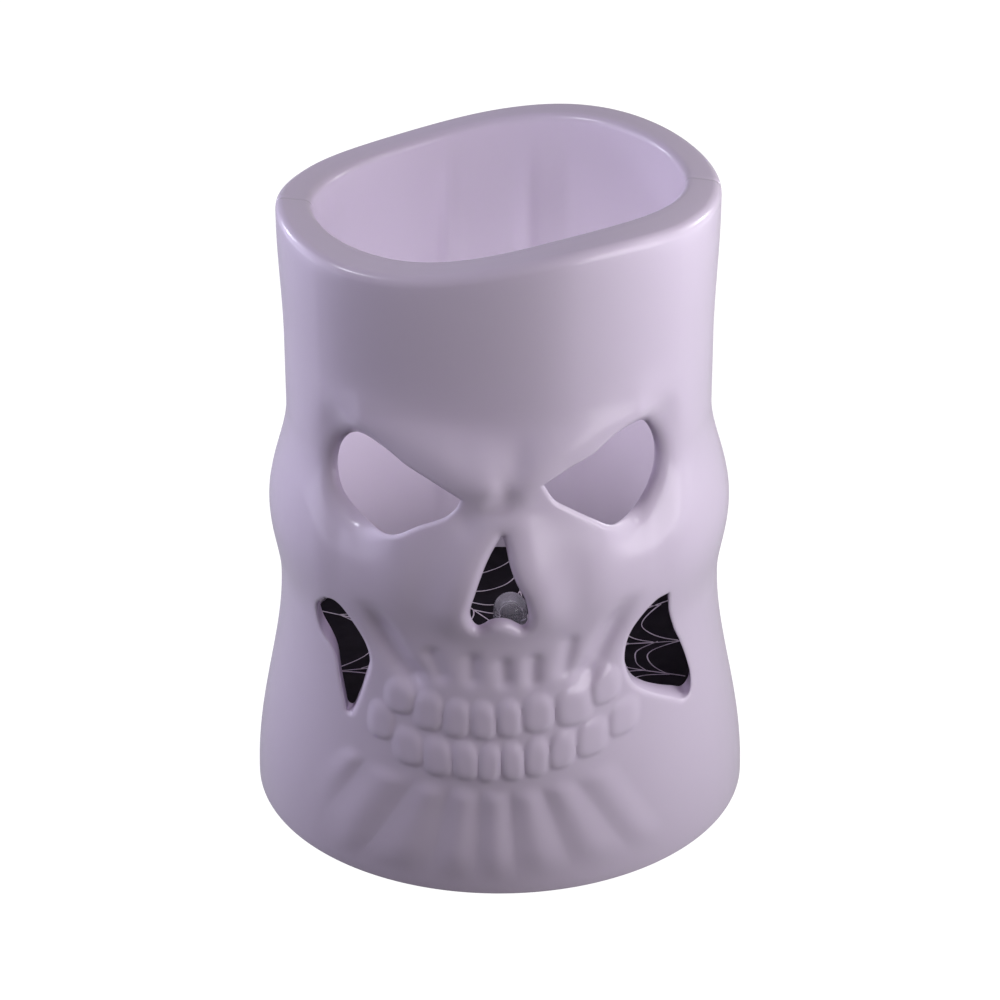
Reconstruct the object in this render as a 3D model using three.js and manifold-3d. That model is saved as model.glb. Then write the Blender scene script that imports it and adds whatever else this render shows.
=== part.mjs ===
// Skull candle pot: an open pot of two white half shells, pierced by a skull's face,
// with a black lamp module in its foot. Millimetres, +Z up, the face looks along -Y,
// and the origin is the middle of the foot.
import * as THREE from 'three';
import { mergeVertices } from 'three/addons/utils/BufferGeometryUtils.js';
import Module from 'manifold-3d';

const wasm = await Module();
wasm.setup();

// Body of the pot: radii and the heights at which they are reached
const HEIGHT = 92.7;
const BASE_RADIUS = 36;
const WAIST_RADIUS = 31.7;
const WAIST_Z = 34;
const CHEEK_RADIUS = 33.1;
const CHEEK_Z = 45.5;
const TEMPLE_RADIUS = 30.2;
const TEMPLE_Z = 61;
const FOREHEAD_Z = 71;
const RIM_RADIUS = 30.8;
const FLARE_END = 2.5;
const BACK_BLEND_ANGLE = 1.2;
const WALL = 3.3;
const RIM_WALL = 5.2;

// Rim: rounded edges, and a wave that climbs from the left to the right
const RIM_ROUND = 2.2;
const RIM_BACK_ROUND = 1.3;
const RIM_INNER_ROUND = 1.2;
const RIM_FRONT_EXTRA = 3.6;
const RIM_FRONT_REACH = 22;
const RIM_TILT = 0.032;
const RIM_WAVE = 1.6;
const RIM_WAVE_SKEW = 0.15;
const RIM_WAVE_REACH = 26;

// Face openings, cut along Y: outlines in the face's own frame, outward from its middle line
const FACE_TILT = 0.033;
const LEFT_EYE = [[4.7, 60.2], [10.2, 63.3], [16, 66.9], [19.6, 66.7], [22.3, 62.2],
  [22, 54.9], [17.2, 51.7], [11.6, 52.7], [7, 56.3]];
const RIGHT_EYE = [[4.9, 61.6], [10.6, 64.3], [15.8, 66.8], [19.2, 66.7], [21.4, 61.6],
  [20.8, 54.4], [16.4, 52], [12, 54.2], [8, 57.3]];
const LEFT_CHEEK = [[23.8, 41.3], [26.1, 39.8], [26.6, 35.6], [24.9, 32.2], [23.7, 28.6],
  [22.4, 23.3], [20.8, 23.1], [19.2, 28.2], [18.6, 33], [19.6, 36.6], [21.8, 39.9]];
const RIGHT_CHEEK = [[23.2, 40.8], [23.8, 36.4], [24.6, 32.6], [26.2, 28.3], [27.7, 21],
  [26.8, 19.4], [24.4, 20.9], [21.2, 24.4], [18.7, 28.6], [17.4, 32.3], [17.5, 35],
  [19.4, 38.3], [21.6, 40.4]];
const NOSE = [[0, 55.2], [1.4, 51.8], [2.6, 47.6], [3.8, 43], [3.7, 40], [2.3, 39.2], [0.9, 40.4],
  [-0.9, 40.4], [-2.4, 39.2], [-3.9, 40], [-4.1, 43], [-3.1, 47.6], [-1.8, 51.8]];
const OUTLINE_STEPS = 30;

// Relief of the face: how far each form rises or sinks, with its place and its reach
const FOREHEAD_FLAT = 1.8;
const FOREHEAD_HALF = 24.5;
const BROW_RISE = 1.7;
const BROW_WIDTH = 3.2;
const BROW_IN = [2.6, 60.6];
const BROW_OUT = [19, 69.2];
const FURROW_DEPTH = 1.1;
const FURROW_WIDTH = 1.4;
const FURROW_TOP = 66;
const NASION_DEPTH = 1.3;
const NASION_Z = 57.2;
const NASION_REACH = [4, 1.8];
const NOSE_RISE = 1.7;
const NOSE_BAND = 2.6;
const NOSE_RIDGE_GAP = 1;
const NOSE_FOOT_Z = 36;
const NOSE_FADE = 4;
const ORBIT_DEPTH = 1.7;
const ORBIT_WIDTH = 4.2;
const LID_RISE = 0.9;
const LID_WIDTH = 1.6;
const LID_FADE = 4;
const ZYGOMA_RISE = 1;
const ZYGOMA = [21, 47.5];
const ZYGOMA_REACH = 6.5;
const HOLLOW_DEPTH = 2;
const HOLLOW_WIDTH = 6.6;
const HOLLOW_SIDE = 24;
const HOLLOW_FADE = 5;
const FOSSA_DEPTH = 0.9;
const FOSSA = [9.5, 46];
const FOSSA_REACH = [3.6, 6];
const MUZZLE_RISE = 1.3;
const MUZZLE_HALF = 16;
const MUZZLE_Z = 25;
const MUZZLE_REACH = 11;
const ROOT_DEPTH = 0.7;
const ROOT_PITCH = 4.3;
const ROOT_LOW = [30.3, 32.3];
const ROOT_HIGH = [35.8, 38.3];
const ROOT_SIDE = [9, 12];
const TOOTH_RISE = 1.2;
const TOOTH_HALF_HEIGHT = 3;
const UPPER_TEETH = [[1.95, 26.8, 1.95], [5.85, 26.8, 1.95], [9.95, 27.1, 2.1], [14, 27.4, 1.9],
  [17, 23.4, 1.6]];
const LOWER_TEETH = [[1.65, 20.6, 1.6], [5, 20.6, 1.7], [8.6, 20.8, 1.9], [12.9, 21.4, 2.2]];
const CHIN_DEPTH = 1;
const CHIN_GROOVE_WIDTH = 1.1;
const FOOT_FADE = 4;
const SEAM_FADE_ANGLE = 0.4;
const CHIN_GROOVES = [[[-21.1, 17.9], [-28.6, 10.3]], [[-16.7, 16.9], [-25.2, 7.6]],
  [[-12.5, 13.9], [-16.8, 9.1]], [[-8, 13.7], [-9.7, 5.4]], [[-3.1, 14.9], [-4, 5.9]],
  [[1.8, 14.8], [1.9, 7.4]], [[6.2, 15.4], [9, 6.5]], [[9.5, 14.9], [13.9, 6.9]],
  [[13.8, 14.9], [18.1, 8]], [[18, 16.9], [23.4, 8.6]]];

// Foot: cover plate, battery box and door
const FOOT_RECESS = 1;
const PLATE_THICKNESS = 2.4;
const PLATE_GAP = 0.3;
const CELL_DIAMETER = 10.5;
const CELL_LENGTH = 44.5;
const CELL_NUB_DIAMETER = 3.8;
const CELL_NUB_LENGTH = 1.2;
const CELL_EDGE = 0.5;
const CELL_GAP = 0.35;
const SPRING_ROOM = 4.5;
const CONTACT_THICKNESS = 0.5;
const CONTACT_WIDTH = 8;
const CONTACT_LIFT = 2.6;
const LEAF_WIDTH = 4;
const TAB_WIDTH = 2;
const TAB_RISE = 1.4;
const BOX_WALL = 1.2;
const DOOR_THICKNESS = 1.6;
const DOOR_GAP = 0.35;
const HOOK_WIDTH = 3.4;
const HOOK_THICKNESS = 0.9;
const HOOK_REACH = 0.9;
const EAR_X = 10;
const EAR_MARGIN = 0.9;
const EAR_WIDTH = 8.4;

// Screws and the bosses and legs that take them
const SCREW_RADIUS = 1.15;
const SCREW_HEAD_RADIUS = 2.3;
const SCREW_HEAD_HEIGHT = 0.8;
const SCREW_EDGE = 0.35;
const SCREW_LENGTH = 8;
const SCREW_SINK = 0.15;
const SCREW_CLEARANCE = 0.3;
const DOOR_SCREW_PLAY = 0.65;
const DOOR_SCREW_LENGTH = 5;
const BOSS_RADIUS = 3;
const BOSS_HEIGHT = 10.5;
const BOSS_SINK = 0.9;
const BOSS_ANGLE = 0.72;
const LEG_RADIUS = 2.8;
const LEG_INSET = 9.8;
const LEG_ANGLES = [0, 2.55, -2.55];

// Deck, printed card and light
const DECK_ROOM = 0.2;
const DECK_THICKNESS = 1.6;
const DECK_GAP = 0.4;
const CARD_THICKNESS = 0.4;
const CARD_MARGIN = 0.3;
const LED_X = 1.6;
const LED_Y = 1;
const LED_RADIUS = 2.5;
const LED_FLANGE_RADIUS = 2.9;
const LED_FLANGE_HEIGHT = 1;
const LED_LENGTH = 8.7;
const LED_SINK = 0.7;
const LED_CLEARANCE = 0.3;
const LEAD_PITCH = 2.54;
const LEAD_SIDE = 0.5;
const LEAD_CLEARANCE = 0.2;

// Circuit board and what is soldered on it
const BOARD_LENGTH = 24;
const BOARD_WIDTH = 16;
const BOARD_THICKNESS = 1;
const BOARD_PAD = 0.6;
const BOARD_PAD_SIZE = 2;
const CHIP_RADIUS = 2.6;
const CHIP_HEIGHT = 1.1;
const RESISTOR_RADIUS = 0.6;
const RESISTOR_LENGTH = 3.6;
const SOLDER_GAP = 0.1;
const WIRE_RADIUS = 0.55;
const WIRE_GAP = 0.3;

// Slide switch
const SWITCH_GAP = 3.5;
const SWITCH_TRAVEL = 3;
const KNOB_LENGTH = 2.6;
const KNOB_WIDTH = 2.6;
const KNOB_TIP_Z = 0.4;
const CARRIER_THICKNESS = 1.2;
const CARRIER_LIP = 0.8;
const SWITCH_WALL = 0.9;
const SWITCH_HEIGHT = 4;
const SWITCH_CLEARANCE = 0.3;

// Fineness of the curved surfaces: sides, and the spacing of rows and columns over the shells
const FACE_LEVELS = [15, 37, 69];
const PLAIN_ROW = 3;
const TEETH_ROW = 1.4;
const FACE_ROW = 2.3;
const WIDE_ROW = 4.8;
const INNER_ROW = 9.5;
const MOUTH_ANGLE = 0.64;
const FACE_ANGLE = 1.12;
const FINE_COLUMN = 0.0535;
const FACE_COLUMN = 0.08;
const REAR_COLUMN = 0.125;
const ROUND_SIDES = 14;
const SCREW_SIDES = 12;
const CELL_SIDES = 20;
const LONG_SIDES = 48;
const SINK_IN = 0.4;

// Heights and places worked out from the sizes above
const PLATE_TOP = FOOT_RECESS + PLATE_THICKNESS;
const DOOR_TOP = FOOT_RECESS + DOOR_THICKNESS;
const CELL_Y = CELL_DIAMETER / 2 + CELL_GAP;
const CELL_Z = DOOR_TOP + CELL_GAP + CELL_DIAMETER / 2;
const BOX_HALF_LENGTH = (CELL_LENGTH + SPRING_ROOM + 2 * CONTACT_THICKNESS) / 2;
const BOX_HALF_WIDTH = CELL_DIAMETER + 2 * CELL_GAP;
const BOX_CEILING = CELL_Z + CELL_DIAMETER / 2 + CELL_GAP;
const BOX_TOP = BOX_CEILING + BOX_WALL;
const EAR_BORE = SCREW_RADIUS + DOOR_SCREW_PLAY;
const EAR_SCREW_Y = SINK_IN - BOX_HALF_WIDTH - BOX_WALL - EAR_BORE;
const EAR_END = EAR_SCREW_Y - SCREW_HEAD_RADIUS - EAR_MARGIN;
const BOARD_BOTTOM = BOX_TOP + BOARD_PAD;
const BOARD_TOP = BOARD_BOTTOM + BOARD_THICKNESS;
const SOLDERED_HEIGHT = Math.max(2 * RESISTOR_RADIUS, 2 * WIRE_RADIUS, CHIP_HEIGHT) + SOLDER_GAP;
const DECK_BOTTOM = BOARD_TOP + SOLDERED_HEIGHT + DECK_ROOM;
const DECK_TOP = DECK_BOTTOM + DECK_THICKNESS;
const LED_BOTTOM = DECK_TOP - LED_SINK;
const SLOT_LENGTH = KNOB_LENGTH + SWITCH_TRAVEL + 2 * SWITCH_CLEARANCE;
const SLOT_WIDTH = KNOB_WIDTH + 2 * SWITCH_CLEARANCE;
const CARRIER_LENGTH = KNOB_LENGTH + 2 * CARRIER_LIP;
const CARRIER_WIDTH = SLOT_WIDTH + 2 * CARRIER_LIP;
const SWITCH_TOP = PLATE_TOP + SWITCH_HEIGHT;
const SWITCH_HALF_LENGTH = CARRIER_LENGTH / 2 + SWITCH_TRAVEL / 2 + SWITCH_CLEARANCE + SWITCH_WALL;
const SWITCH_HALF_WIDTH = CARRIER_WIDTH / 2 + SWITCH_CLEARANCE + SWITCH_WALL;
const SWITCH_Y = BOX_HALF_WIDTH + BOX_WALL + SWITCH_GAP + SWITCH_HALF_WIDTH;

const FRONT_STATIONS = [[0, BASE_RADIUS], [WAIST_Z, WAIST_RADIUS], [CHEEK_Z, CHEEK_RADIUS],
  [TEMPLE_Z, TEMPLE_RADIUS], [FOREHEAD_Z, TEMPLE_RADIUS], [HEIGHT - FLARE_END, RIM_RADIUS]];
const BACK_STATIONS = [[0, BASE_RADIUS], [TEMPLE_Z, TEMPLE_RADIUS], [FOREHEAD_Z, TEMPLE_RADIUS],
  [HEIGHT - FLARE_END, RIM_RADIUS]];
const INNER_STATIONS = [[0, BASE_RADIUS - WALL], [WAIST_Z, WAIST_RADIUS - WALL],
  [HEIGHT, RIM_RADIUS - RIM_WALL]];

// A smooth step from 0 to 1
function ease(t) {
  const held = Math.min(1, Math.max(0, t));
  return (1 - Math.cos(Math.PI * held)) / 2;
}

// 1 between inLow and inHigh, easing to 0 at outLow and outHigh
function between(value, outLow, inLow, inHigh, outHigh) {
  const rise = ease((value - outLow) / (inLow - outLow));
  const fall = ease((value - inHigh) / (outHigh - inHigh));
  return rise * (1 - fall);
}

// A bell of height 1 whose width is its reach
function bell(offset, reach) {
  return Math.exp(-((offset / reach) ** 2));
}

// Radius at a height, eased from each station to the next
function stationRadius(stations, z) {
  const above = stations.findIndex(([top]) => z < top);
  if (above < 0) return stations.at(-1)[1];
  if (above === 0) return stations[0][1];
  const [lowZ, lowRadius] = stations[above - 1];
  const [highZ, highRadius] = stations[above];
  return lowRadius + (highRadius - lowRadius) * ease((z - lowZ) / (highZ - lowZ));
}

// Outer radius: the cheekbones fade away towards the back of the head
function outerRadius(z, angle) {
  const fromFront = Math.acos(Math.cos(angle));
  const back = ease((fromFront - Math.PI / 2) / BACK_BLEND_ANGLE);
  const front = stationRadius(FRONT_STATIONS, z);
  return front + (stationRadius(BACK_STATIONS, z) - front) * back;
}

function innerRadius(z) {
  return stationRadius(INNER_STATIONS, z);
}

// How far the wave lifts the rim at a place
function rimLift(x, y) {
  const wave = RIM_WAVE * (1 - RIM_WAVE_SKEW * y / RIM_RADIUS) * Math.sin(Math.PI * x / RIM_RADIUS);
  return RIM_TILT * x + wave;
}

// Distance from a place on the face to a straight line between two points
function lineDistance(u, h, from, to) {
  const along = [to[0] - from[0], to[1] - from[1]];
  const share = ((u - from[0]) * along[0] + (h - from[1]) * along[1]) / (along[0] ** 2 + along[1] ** 2);
  const held = Math.min(1, Math.max(0, share));
  return Math.hypot(u - from[0] - held * along[0], h - from[1] - held * along[1]);
}

// A smooth closed outline through points, with a sharp corner at the first one
function smoothOutline(points) {
  const path = [...points, points[0]].map(([u, h]) => new THREE.Vector3(u, h, 0));
  const curve = new THREE.CatmullRomCurve3(path, false, 'centripetal');
  return curve.getPoints(OUTLINE_STEPS).slice(0, -1).map((point) => [point.x, point.y]);
}

function mirrored(points) {
  return points.map(([u, h]) => [-u, h]);
}

// Shortest distance to an outline from outside it, and 0 inside
function outsideDistance(outline, u, h) {
  let nearest = Infinity;
  let inside = false;
  outline.forEach((from, k) => {
    const to = outline[(k + 1) % outline.length];
    nearest = Math.min(nearest, lineDistance(u, h, from, to));
    const crosses = (from[1] > h) !== (to[1] > h);
    const crossing = from[0] + (to[0] - from[0]) * (h - from[1]) / (to[1] - from[1]);
    if (crosses && u < crossing) inside = !inside;
  });
  return inside ? 0 : nearest;
}

const eyes = { left: smoothOutline(LEFT_EYE), right: smoothOutline(RIGHT_EYE) };
const cheeks = { left: smoothOutline(LEFT_CHEEK), right: smoothOutline(RIGHT_CHEEK) };
const nose = smoothOutline(NOSE);

// Rise of one row of teeth: each tooth is a rounded oblong pillow
function teethRise(teeth, u, h) {
  let rise = 0;
  for (const [middle, level, halfWidth] of teeth) {
    const across = Math.min(1, Math.abs(u - middle) / halfWidth);
    const up = Math.min(1, Math.abs(h - level) / TOOTH_HALF_HEIGHT);
    rise = Math.max(rise, TOOTH_RISE * (1 - across ** 4) * (1 - up ** 4));
  }
  return rise;
}

// Brows, forehead and eye sockets
function upperFace(u, h, eyeGap) {
  const brow = BROW_RISE * bell(lineDistance(u, h, BROW_IN, BROW_OUT), BROW_WIDTH);
  const flat = Math.max(0, 1 - (u / FOREHEAD_HALF) ** 2);
  const forehead = -FOREHEAD_FLAT * flat * ease((h - TEMPLE_Z) / (FOREHEAD_Z - TEMPLE_Z));
  const furrowBand = between(h, NASION_Z, TEMPLE_Z, FURROW_TOP, FOREHEAD_Z);
  const furrow = -FURROW_DEPTH * bell(u, FURROW_WIDTH) * furrowBand;
  const nasion = -NASION_DEPTH * bell(u, NASION_REACH[0]) * bell(h - NASION_Z, NASION_REACH[1]);
  const underBrow = 1 - bell(lineDistance(u, h, BROW_IN, BROW_OUT), BROW_WIDTH);
  const orbit = -ORBIT_DEPTH * (1 - ease(eyeGap / ORBIT_WIDTH)) * underBrow;
  const lid = LID_RISE * bell(eyeGap - ORBIT_WIDTH / 2, LID_WIDTH) * ease((NASION_Z - h) / LID_FADE);
  return brow + forehead + furrow + nasion + orbit + lid;
}

// Nose, cheekbones and the hollows beside them
function middleFace(u, h, noseGap, cheekGap) {
  const noseBand = bell(noseGap - NOSE_RIDGE_GAP, NOSE_BAND);
  const bridge = NOSE_RISE * noseBand * ease((h - NOSE_FOOT_Z) / NOSE_FADE);
  const zygoma = ZYGOMA_RISE * bell(Math.hypot(u - ZYGOMA[0], h - ZYGOMA[1]), ZYGOMA_REACH);
  const inner = ease((HOLLOW_SIDE - u) / HOLLOW_FADE);
  const hollow = -HOLLOW_DEPTH * Math.max(0, 1 - cheekGap / HOLLOW_WIDTH) * inner;
  const fossa = -FOSSA_DEPTH * bell(u - FOSSA[0], FOSSA_REACH[0]) * bell(h - FOSSA[1], FOSSA_REACH[1]);
  return bridge + zygoma + hollow + fossa;
}

// Muzzle, tooth roots, two rows of teeth and the grooves of the chin
function lowerFace(x, u, h) {
  const muzzle = MUZZLE_RISE * Math.exp(-((u / MUZZLE_HALF) ** 4) - ((h - MUZZLE_Z) / MUZZLE_REACH) ** 4);
  const wave = (0.5 + 0.5 * Math.cos(2 * Math.PI * u / ROOT_PITCH)) ** 2;
  const rootBand = between(h, ...ROOT_LOW, ...ROOT_HIGH);
  const rootSide = 1 - ease((u - ROOT_SIDE[0]) / (ROOT_SIDE[1] - ROOT_SIDE[0]));
  const roots = -ROOT_DEPTH * wave * rootBand * rootSide;
  const teeth = Math.max(teethRise(UPPER_TEETH, u, h), teethRise(LOWER_TEETH, u, h));
  const gaps = CHIN_GROOVES.map(([from, to]) => lineDistance(x, h, from, to));
  const chin = -CHIN_DEPTH * bell(Math.min(...gaps), CHIN_GROOVE_WIDTH);
  return muzzle + roots + teeth + chin;
}

// How far the face stands out towards -Y at a place, fading to nothing at the seams
function faceRelief(x, z, angle) {
  const u = Math.abs(x);
  const h = z - FACE_TILT * x;
  const side = x < 0 ? 'left' : 'right';
  const eyeGap = outsideDistance(eyes[side], u, h);
  const cheekGap = outsideDistance(cheeks[side], u, h);
  const noseGap = outsideDistance(nose, x, h);
  const rise = upperFace(u, h, eyeGap) + middleFace(u, h, noseGap, cheekGap) + lowerFace(x, u, h);
  return rise * ease((Math.PI / 2 - Math.abs(angle)) / SEAM_FADE_ANGLE) * ease(z / FOOT_FADE);
}

// How far the inside of the front stands in under the rim
function rimThickening(z, angle) {
  const front = Math.max(0, Math.cos(angle));
  return RIM_FRONT_EXTRA * front * ease((z - HEIGHT + RIM_FRONT_REACH) / RIM_FRONT_REACH);
}

// Makes a solid of a geometry: shared vertices merged, empty triangles dropped
function toSolid(geometry) {
  const bare = geometry.clone();
  bare.deleteAttribute('normal');
  bare.deleteAttribute('uv');
  const merged = mergeVertices(bare, 1e-5);
  const corners = merged.index.array;
  const kept = [];
  for (let k = 0; k < corners.length; k += 3) {
    const [a, b, c] = corners.slice(k, k + 3);
    if (a !== b && b !== c && c !== a) kept.push(a, b, c);
  }
  const vertProperties = new Float32Array(merged.attributes.position.array);
  const triVerts = new Uint32Array(kept);
  return new wasm.Manifold(new wasm.Mesh({ numProp: 3, vertProperties, triVerts }));
}

function toGeometry(solid) {
  const { vertProperties, triVerts } = solid.getMesh();
  const geometry = new THREE.BufferGeometry();
  geometry.setAttribute('position', new THREE.BufferAttribute(vertProperties, 3));
  geometry.setIndex(new THREE.BufferAttribute(triVerts, 1));
  geometry.computeVertexNormals();
  return geometry;
}

// A box between two corners
function block([x0, y0, z0], [x1, y1, z1]) {
  const geometry = new THREE.BoxGeometry(x1 - x0, y1 - y0, z1 - z0);
  geometry.translate((x0 + x1) / 2, (y0 + y1) / 2, (z0 + z1) / 2);
  return toSolid(geometry);
}

// An upright round bar
function rod([x, y], z0, z1, radius, sides = ROUND_SIDES) {
  const geometry = new THREE.CylinderGeometry(radius, radius, z1 - z0, sides);
  geometry.rotateX(Math.PI / 2);
  geometry.translate(x, y, (z0 + z1) / 2);
  return toSolid(geometry);
}

// A turned piece: radius and height pairs from the axis back to the axis
function turned(profile, sides = ROUND_SIDES) {
  const points = profile.map(([radius, z]) => new THREE.Vector2(radius, z));
  const geometry = new THREE.LatheGeometry(points, sides);
  geometry.rotateX(Math.PI / 2);
  return geometry;
}

// Place on a circle around the pot's axis, with angle 0 in front
function onCircle(radius, angle) {
  return [radius * Math.sin(angle), -radius * Math.cos(angle)];
}

// Values from low to high in equal steps no longer than the given step
function steps(low, high, step) {
  const count = Math.ceil((high - low) / step - 1e-6);
  return Array.from({ length: count + 1 }, (_, k) => low + (high - low) * k / count);
}

function joined(...runs) {
  return runs.flatMap((run, k) => (k ? run.slice(1) : run));
}

// One column of a half shell: outside upwards, over the rim, and down the inside
function shellColumn(angle, outerHeights, innerHeights, relief) {
  const [sine, minusCosine] = onCircle(1, angle);
  const column = [];
  const place = (radius, z, out) => {
    const x = radius * sine;
    const y = radius * minusCosine;
    const share = ease((z - HEIGHT + RIM_WAVE_REACH) / RIM_WAVE_REACH);
    column.push([x, y - out, z + share * rimLift(x, y)]);
  };
  for (const z of outerHeights) {
    const radius = outerRadius(z, angle);
    place(radius, z, relief(radius * sine, z, angle));
  }
  const topRadius = outerRadius(HEIGHT, angle);
  const round = RIM_BACK_ROUND + (RIM_ROUND - RIM_BACK_ROUND) * ease((1 - minusCosine) / 2);
  for (const turn of [0, Math.PI / 6, Math.PI / 3, Math.PI / 2]) {
    const radius = topRadius - round * (1 - Math.cos(turn));
    place(radius, HEIGHT - round * (1 - Math.sin(turn)), relief(topRadius * sine, HEIGHT, angle));
  }
  for (const turn of [0, Math.PI / 4]) {
    const radius = innerRadius(HEIGHT) + RIM_INNER_ROUND * (1 - Math.sin(turn));
    place(radius, HEIGHT - RIM_INNER_ROUND * (1 - Math.cos(turn)), -rimThickening(HEIGHT, angle));
  }
  for (const z of [...innerHeights].reverse()) place(innerRadius(z), z, -rimThickening(z, angle));
  return column;
}

// A half shell as one closed skin: columns side by side, with flat ends on the seam plane
function halfShell(angles, outerHeights, innerHeights, relief) {
  const columns = angles.map((angle) => shellColumn(angle, outerHeights, innerHeights, relief));
  for (const column of [columns[0], columns.at(-1)]) column.forEach((point) => { point[1] = 0; });
  const size = columns[0].length;
  const index = [];
  for (let c = 0; c + 1 < columns.length; c += 1) {
    for (let k = 0; k < size; k += 1) {
      const next = (k + 1) % size;
      const [a, b] = [c * size + k, (c + 1) * size + k];
      const [d, e] = [c * size + next, (c + 1) * size + next];
      index.push(a, b, e, a, e, d);
    }
  }
  const addEnd = (c, flip) => {
    const outline = columns[c].map(([x, , z]) => new THREE.Vector2(Math.abs(x), z));
    for (const [a, b, d] of THREE.ShapeUtils.triangulateShape(outline, [])) {
      const corners = flip ? [a, d, b] : [a, b, d];
      index.push(...corners.map((corner) => c * size + corner));
    }
  };
  addEnd(0, false);
  addEnd(columns.length - 1, true);
  const geometry = new THREE.BufferGeometry();
  geometry.setAttribute('position', new THREE.Float32BufferAttribute(columns.flat(2), 3));
  geometry.setIndex(index);
  return toSolid(geometry);
}

// A cutter through the front wall with an outline of the face, leaning as the face leans
function faceCutter(outline) {
  const points = outline.map(([x, h]) => new THREE.Vector2(x, h + FACE_TILT * x));
  const depth = BASE_RADIUS;
  const geometry = new THREE.ExtrudeGeometry(new THREE.Shape(points), { depth, bevelEnabled: false });
  geometry.rotateX(Math.PI / 2);
  geometry.translate(0, -SINK_IN, 0);
  return toSolid(geometry);
}

const BOSS_CIRCLE = innerRadius(PLATE_TOP + BOSS_HEIGHT) - BOSS_RADIUS + BOSS_SINK;
const bossAngles = {
  front: [BOSS_ANGLE, -BOSS_ANGLE],
  rear: [Math.PI - BOSS_ANGLE, Math.PI + BOSS_ANGLE],
};
const bossPlaces = [...bossAngles.front, ...bossAngles.rear].map((angle) => onCircle(BOSS_CIRCLE, angle));
const PLATE_RADIUS = innerRadius(PLATE_TOP) - PLATE_GAP;
const legPlaces = LEG_ANGLES.map((angle) => onCircle(PLATE_RADIUS - LEG_INSET, angle));
const earPlace = [EAR_X, EAR_SCREW_Y];
const HOLE_RADIUS = SCREW_RADIUS + SCREW_CLEARANCE;

// Adds the screw bosses of one half to it
function withBosses(shell, angles) {
  let solid = shell;
  for (const angle of angles) {
    const place = onCircle(BOSS_CIRCLE, angle);
    solid = solid.add(rod(place, PLATE_TOP, PLATE_TOP + BOSS_HEIGHT, BOSS_RADIUS));
    solid = solid.subtract(rod(place, PLATE_TOP - 1, PLATE_TOP + SCREW_LENGTH, HOLE_RADIUS));
  }
  return solid;
}

function frontShell() {
  const middle = steps(-MOUTH_ANGLE, MOUTH_ANGLE, FINE_COLUMN);
  const face = steps(MOUTH_ANGLE, FACE_ANGLE, FACE_COLUMN);
  const side = joined(face, steps(FACE_ANGLE, Math.PI / 2, REAR_COLUMN));
  const angles = joined(side.map((angle) => -angle).reverse(), middle, side);
  const [chin, mouth, eyeTop] = FACE_LEVELS;
  const heights = joined(steps(0, chin, PLAIN_ROW), steps(chin, mouth, TEETH_ROW),
    steps(mouth, eyeTop, FACE_ROW), steps(eyeTop, HEIGHT - 2 * RIM_ROUND, WIDE_ROW));
  let solid = halfShell(angles, heights, steps(0, HEIGHT - RIM_INNER_ROUND, INNER_ROW), faceRelief);
  solid = withBosses(solid, bossAngles.front);
  const outlines = [mirrored(eyes.left), eyes.right, nose, mirrored(cheeks.left), cheeks.right];
  for (const outline of outlines) solid = solid.subtract(faceCutter(outline));
  return solid;
}

function rearShell() {
  const angles = steps(Math.PI / 2, 1.5 * Math.PI, REAR_COLUMN);
  const heights = steps(0, HEIGHT - 2 * RIM_ROUND, WIDE_ROW);
  const solid = halfShell(angles, heights, steps(0, HEIGHT - RIM_INNER_ROUND, INNER_ROW), () => 0);
  return withBosses(solid, bossAngles.rear);
}

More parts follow.
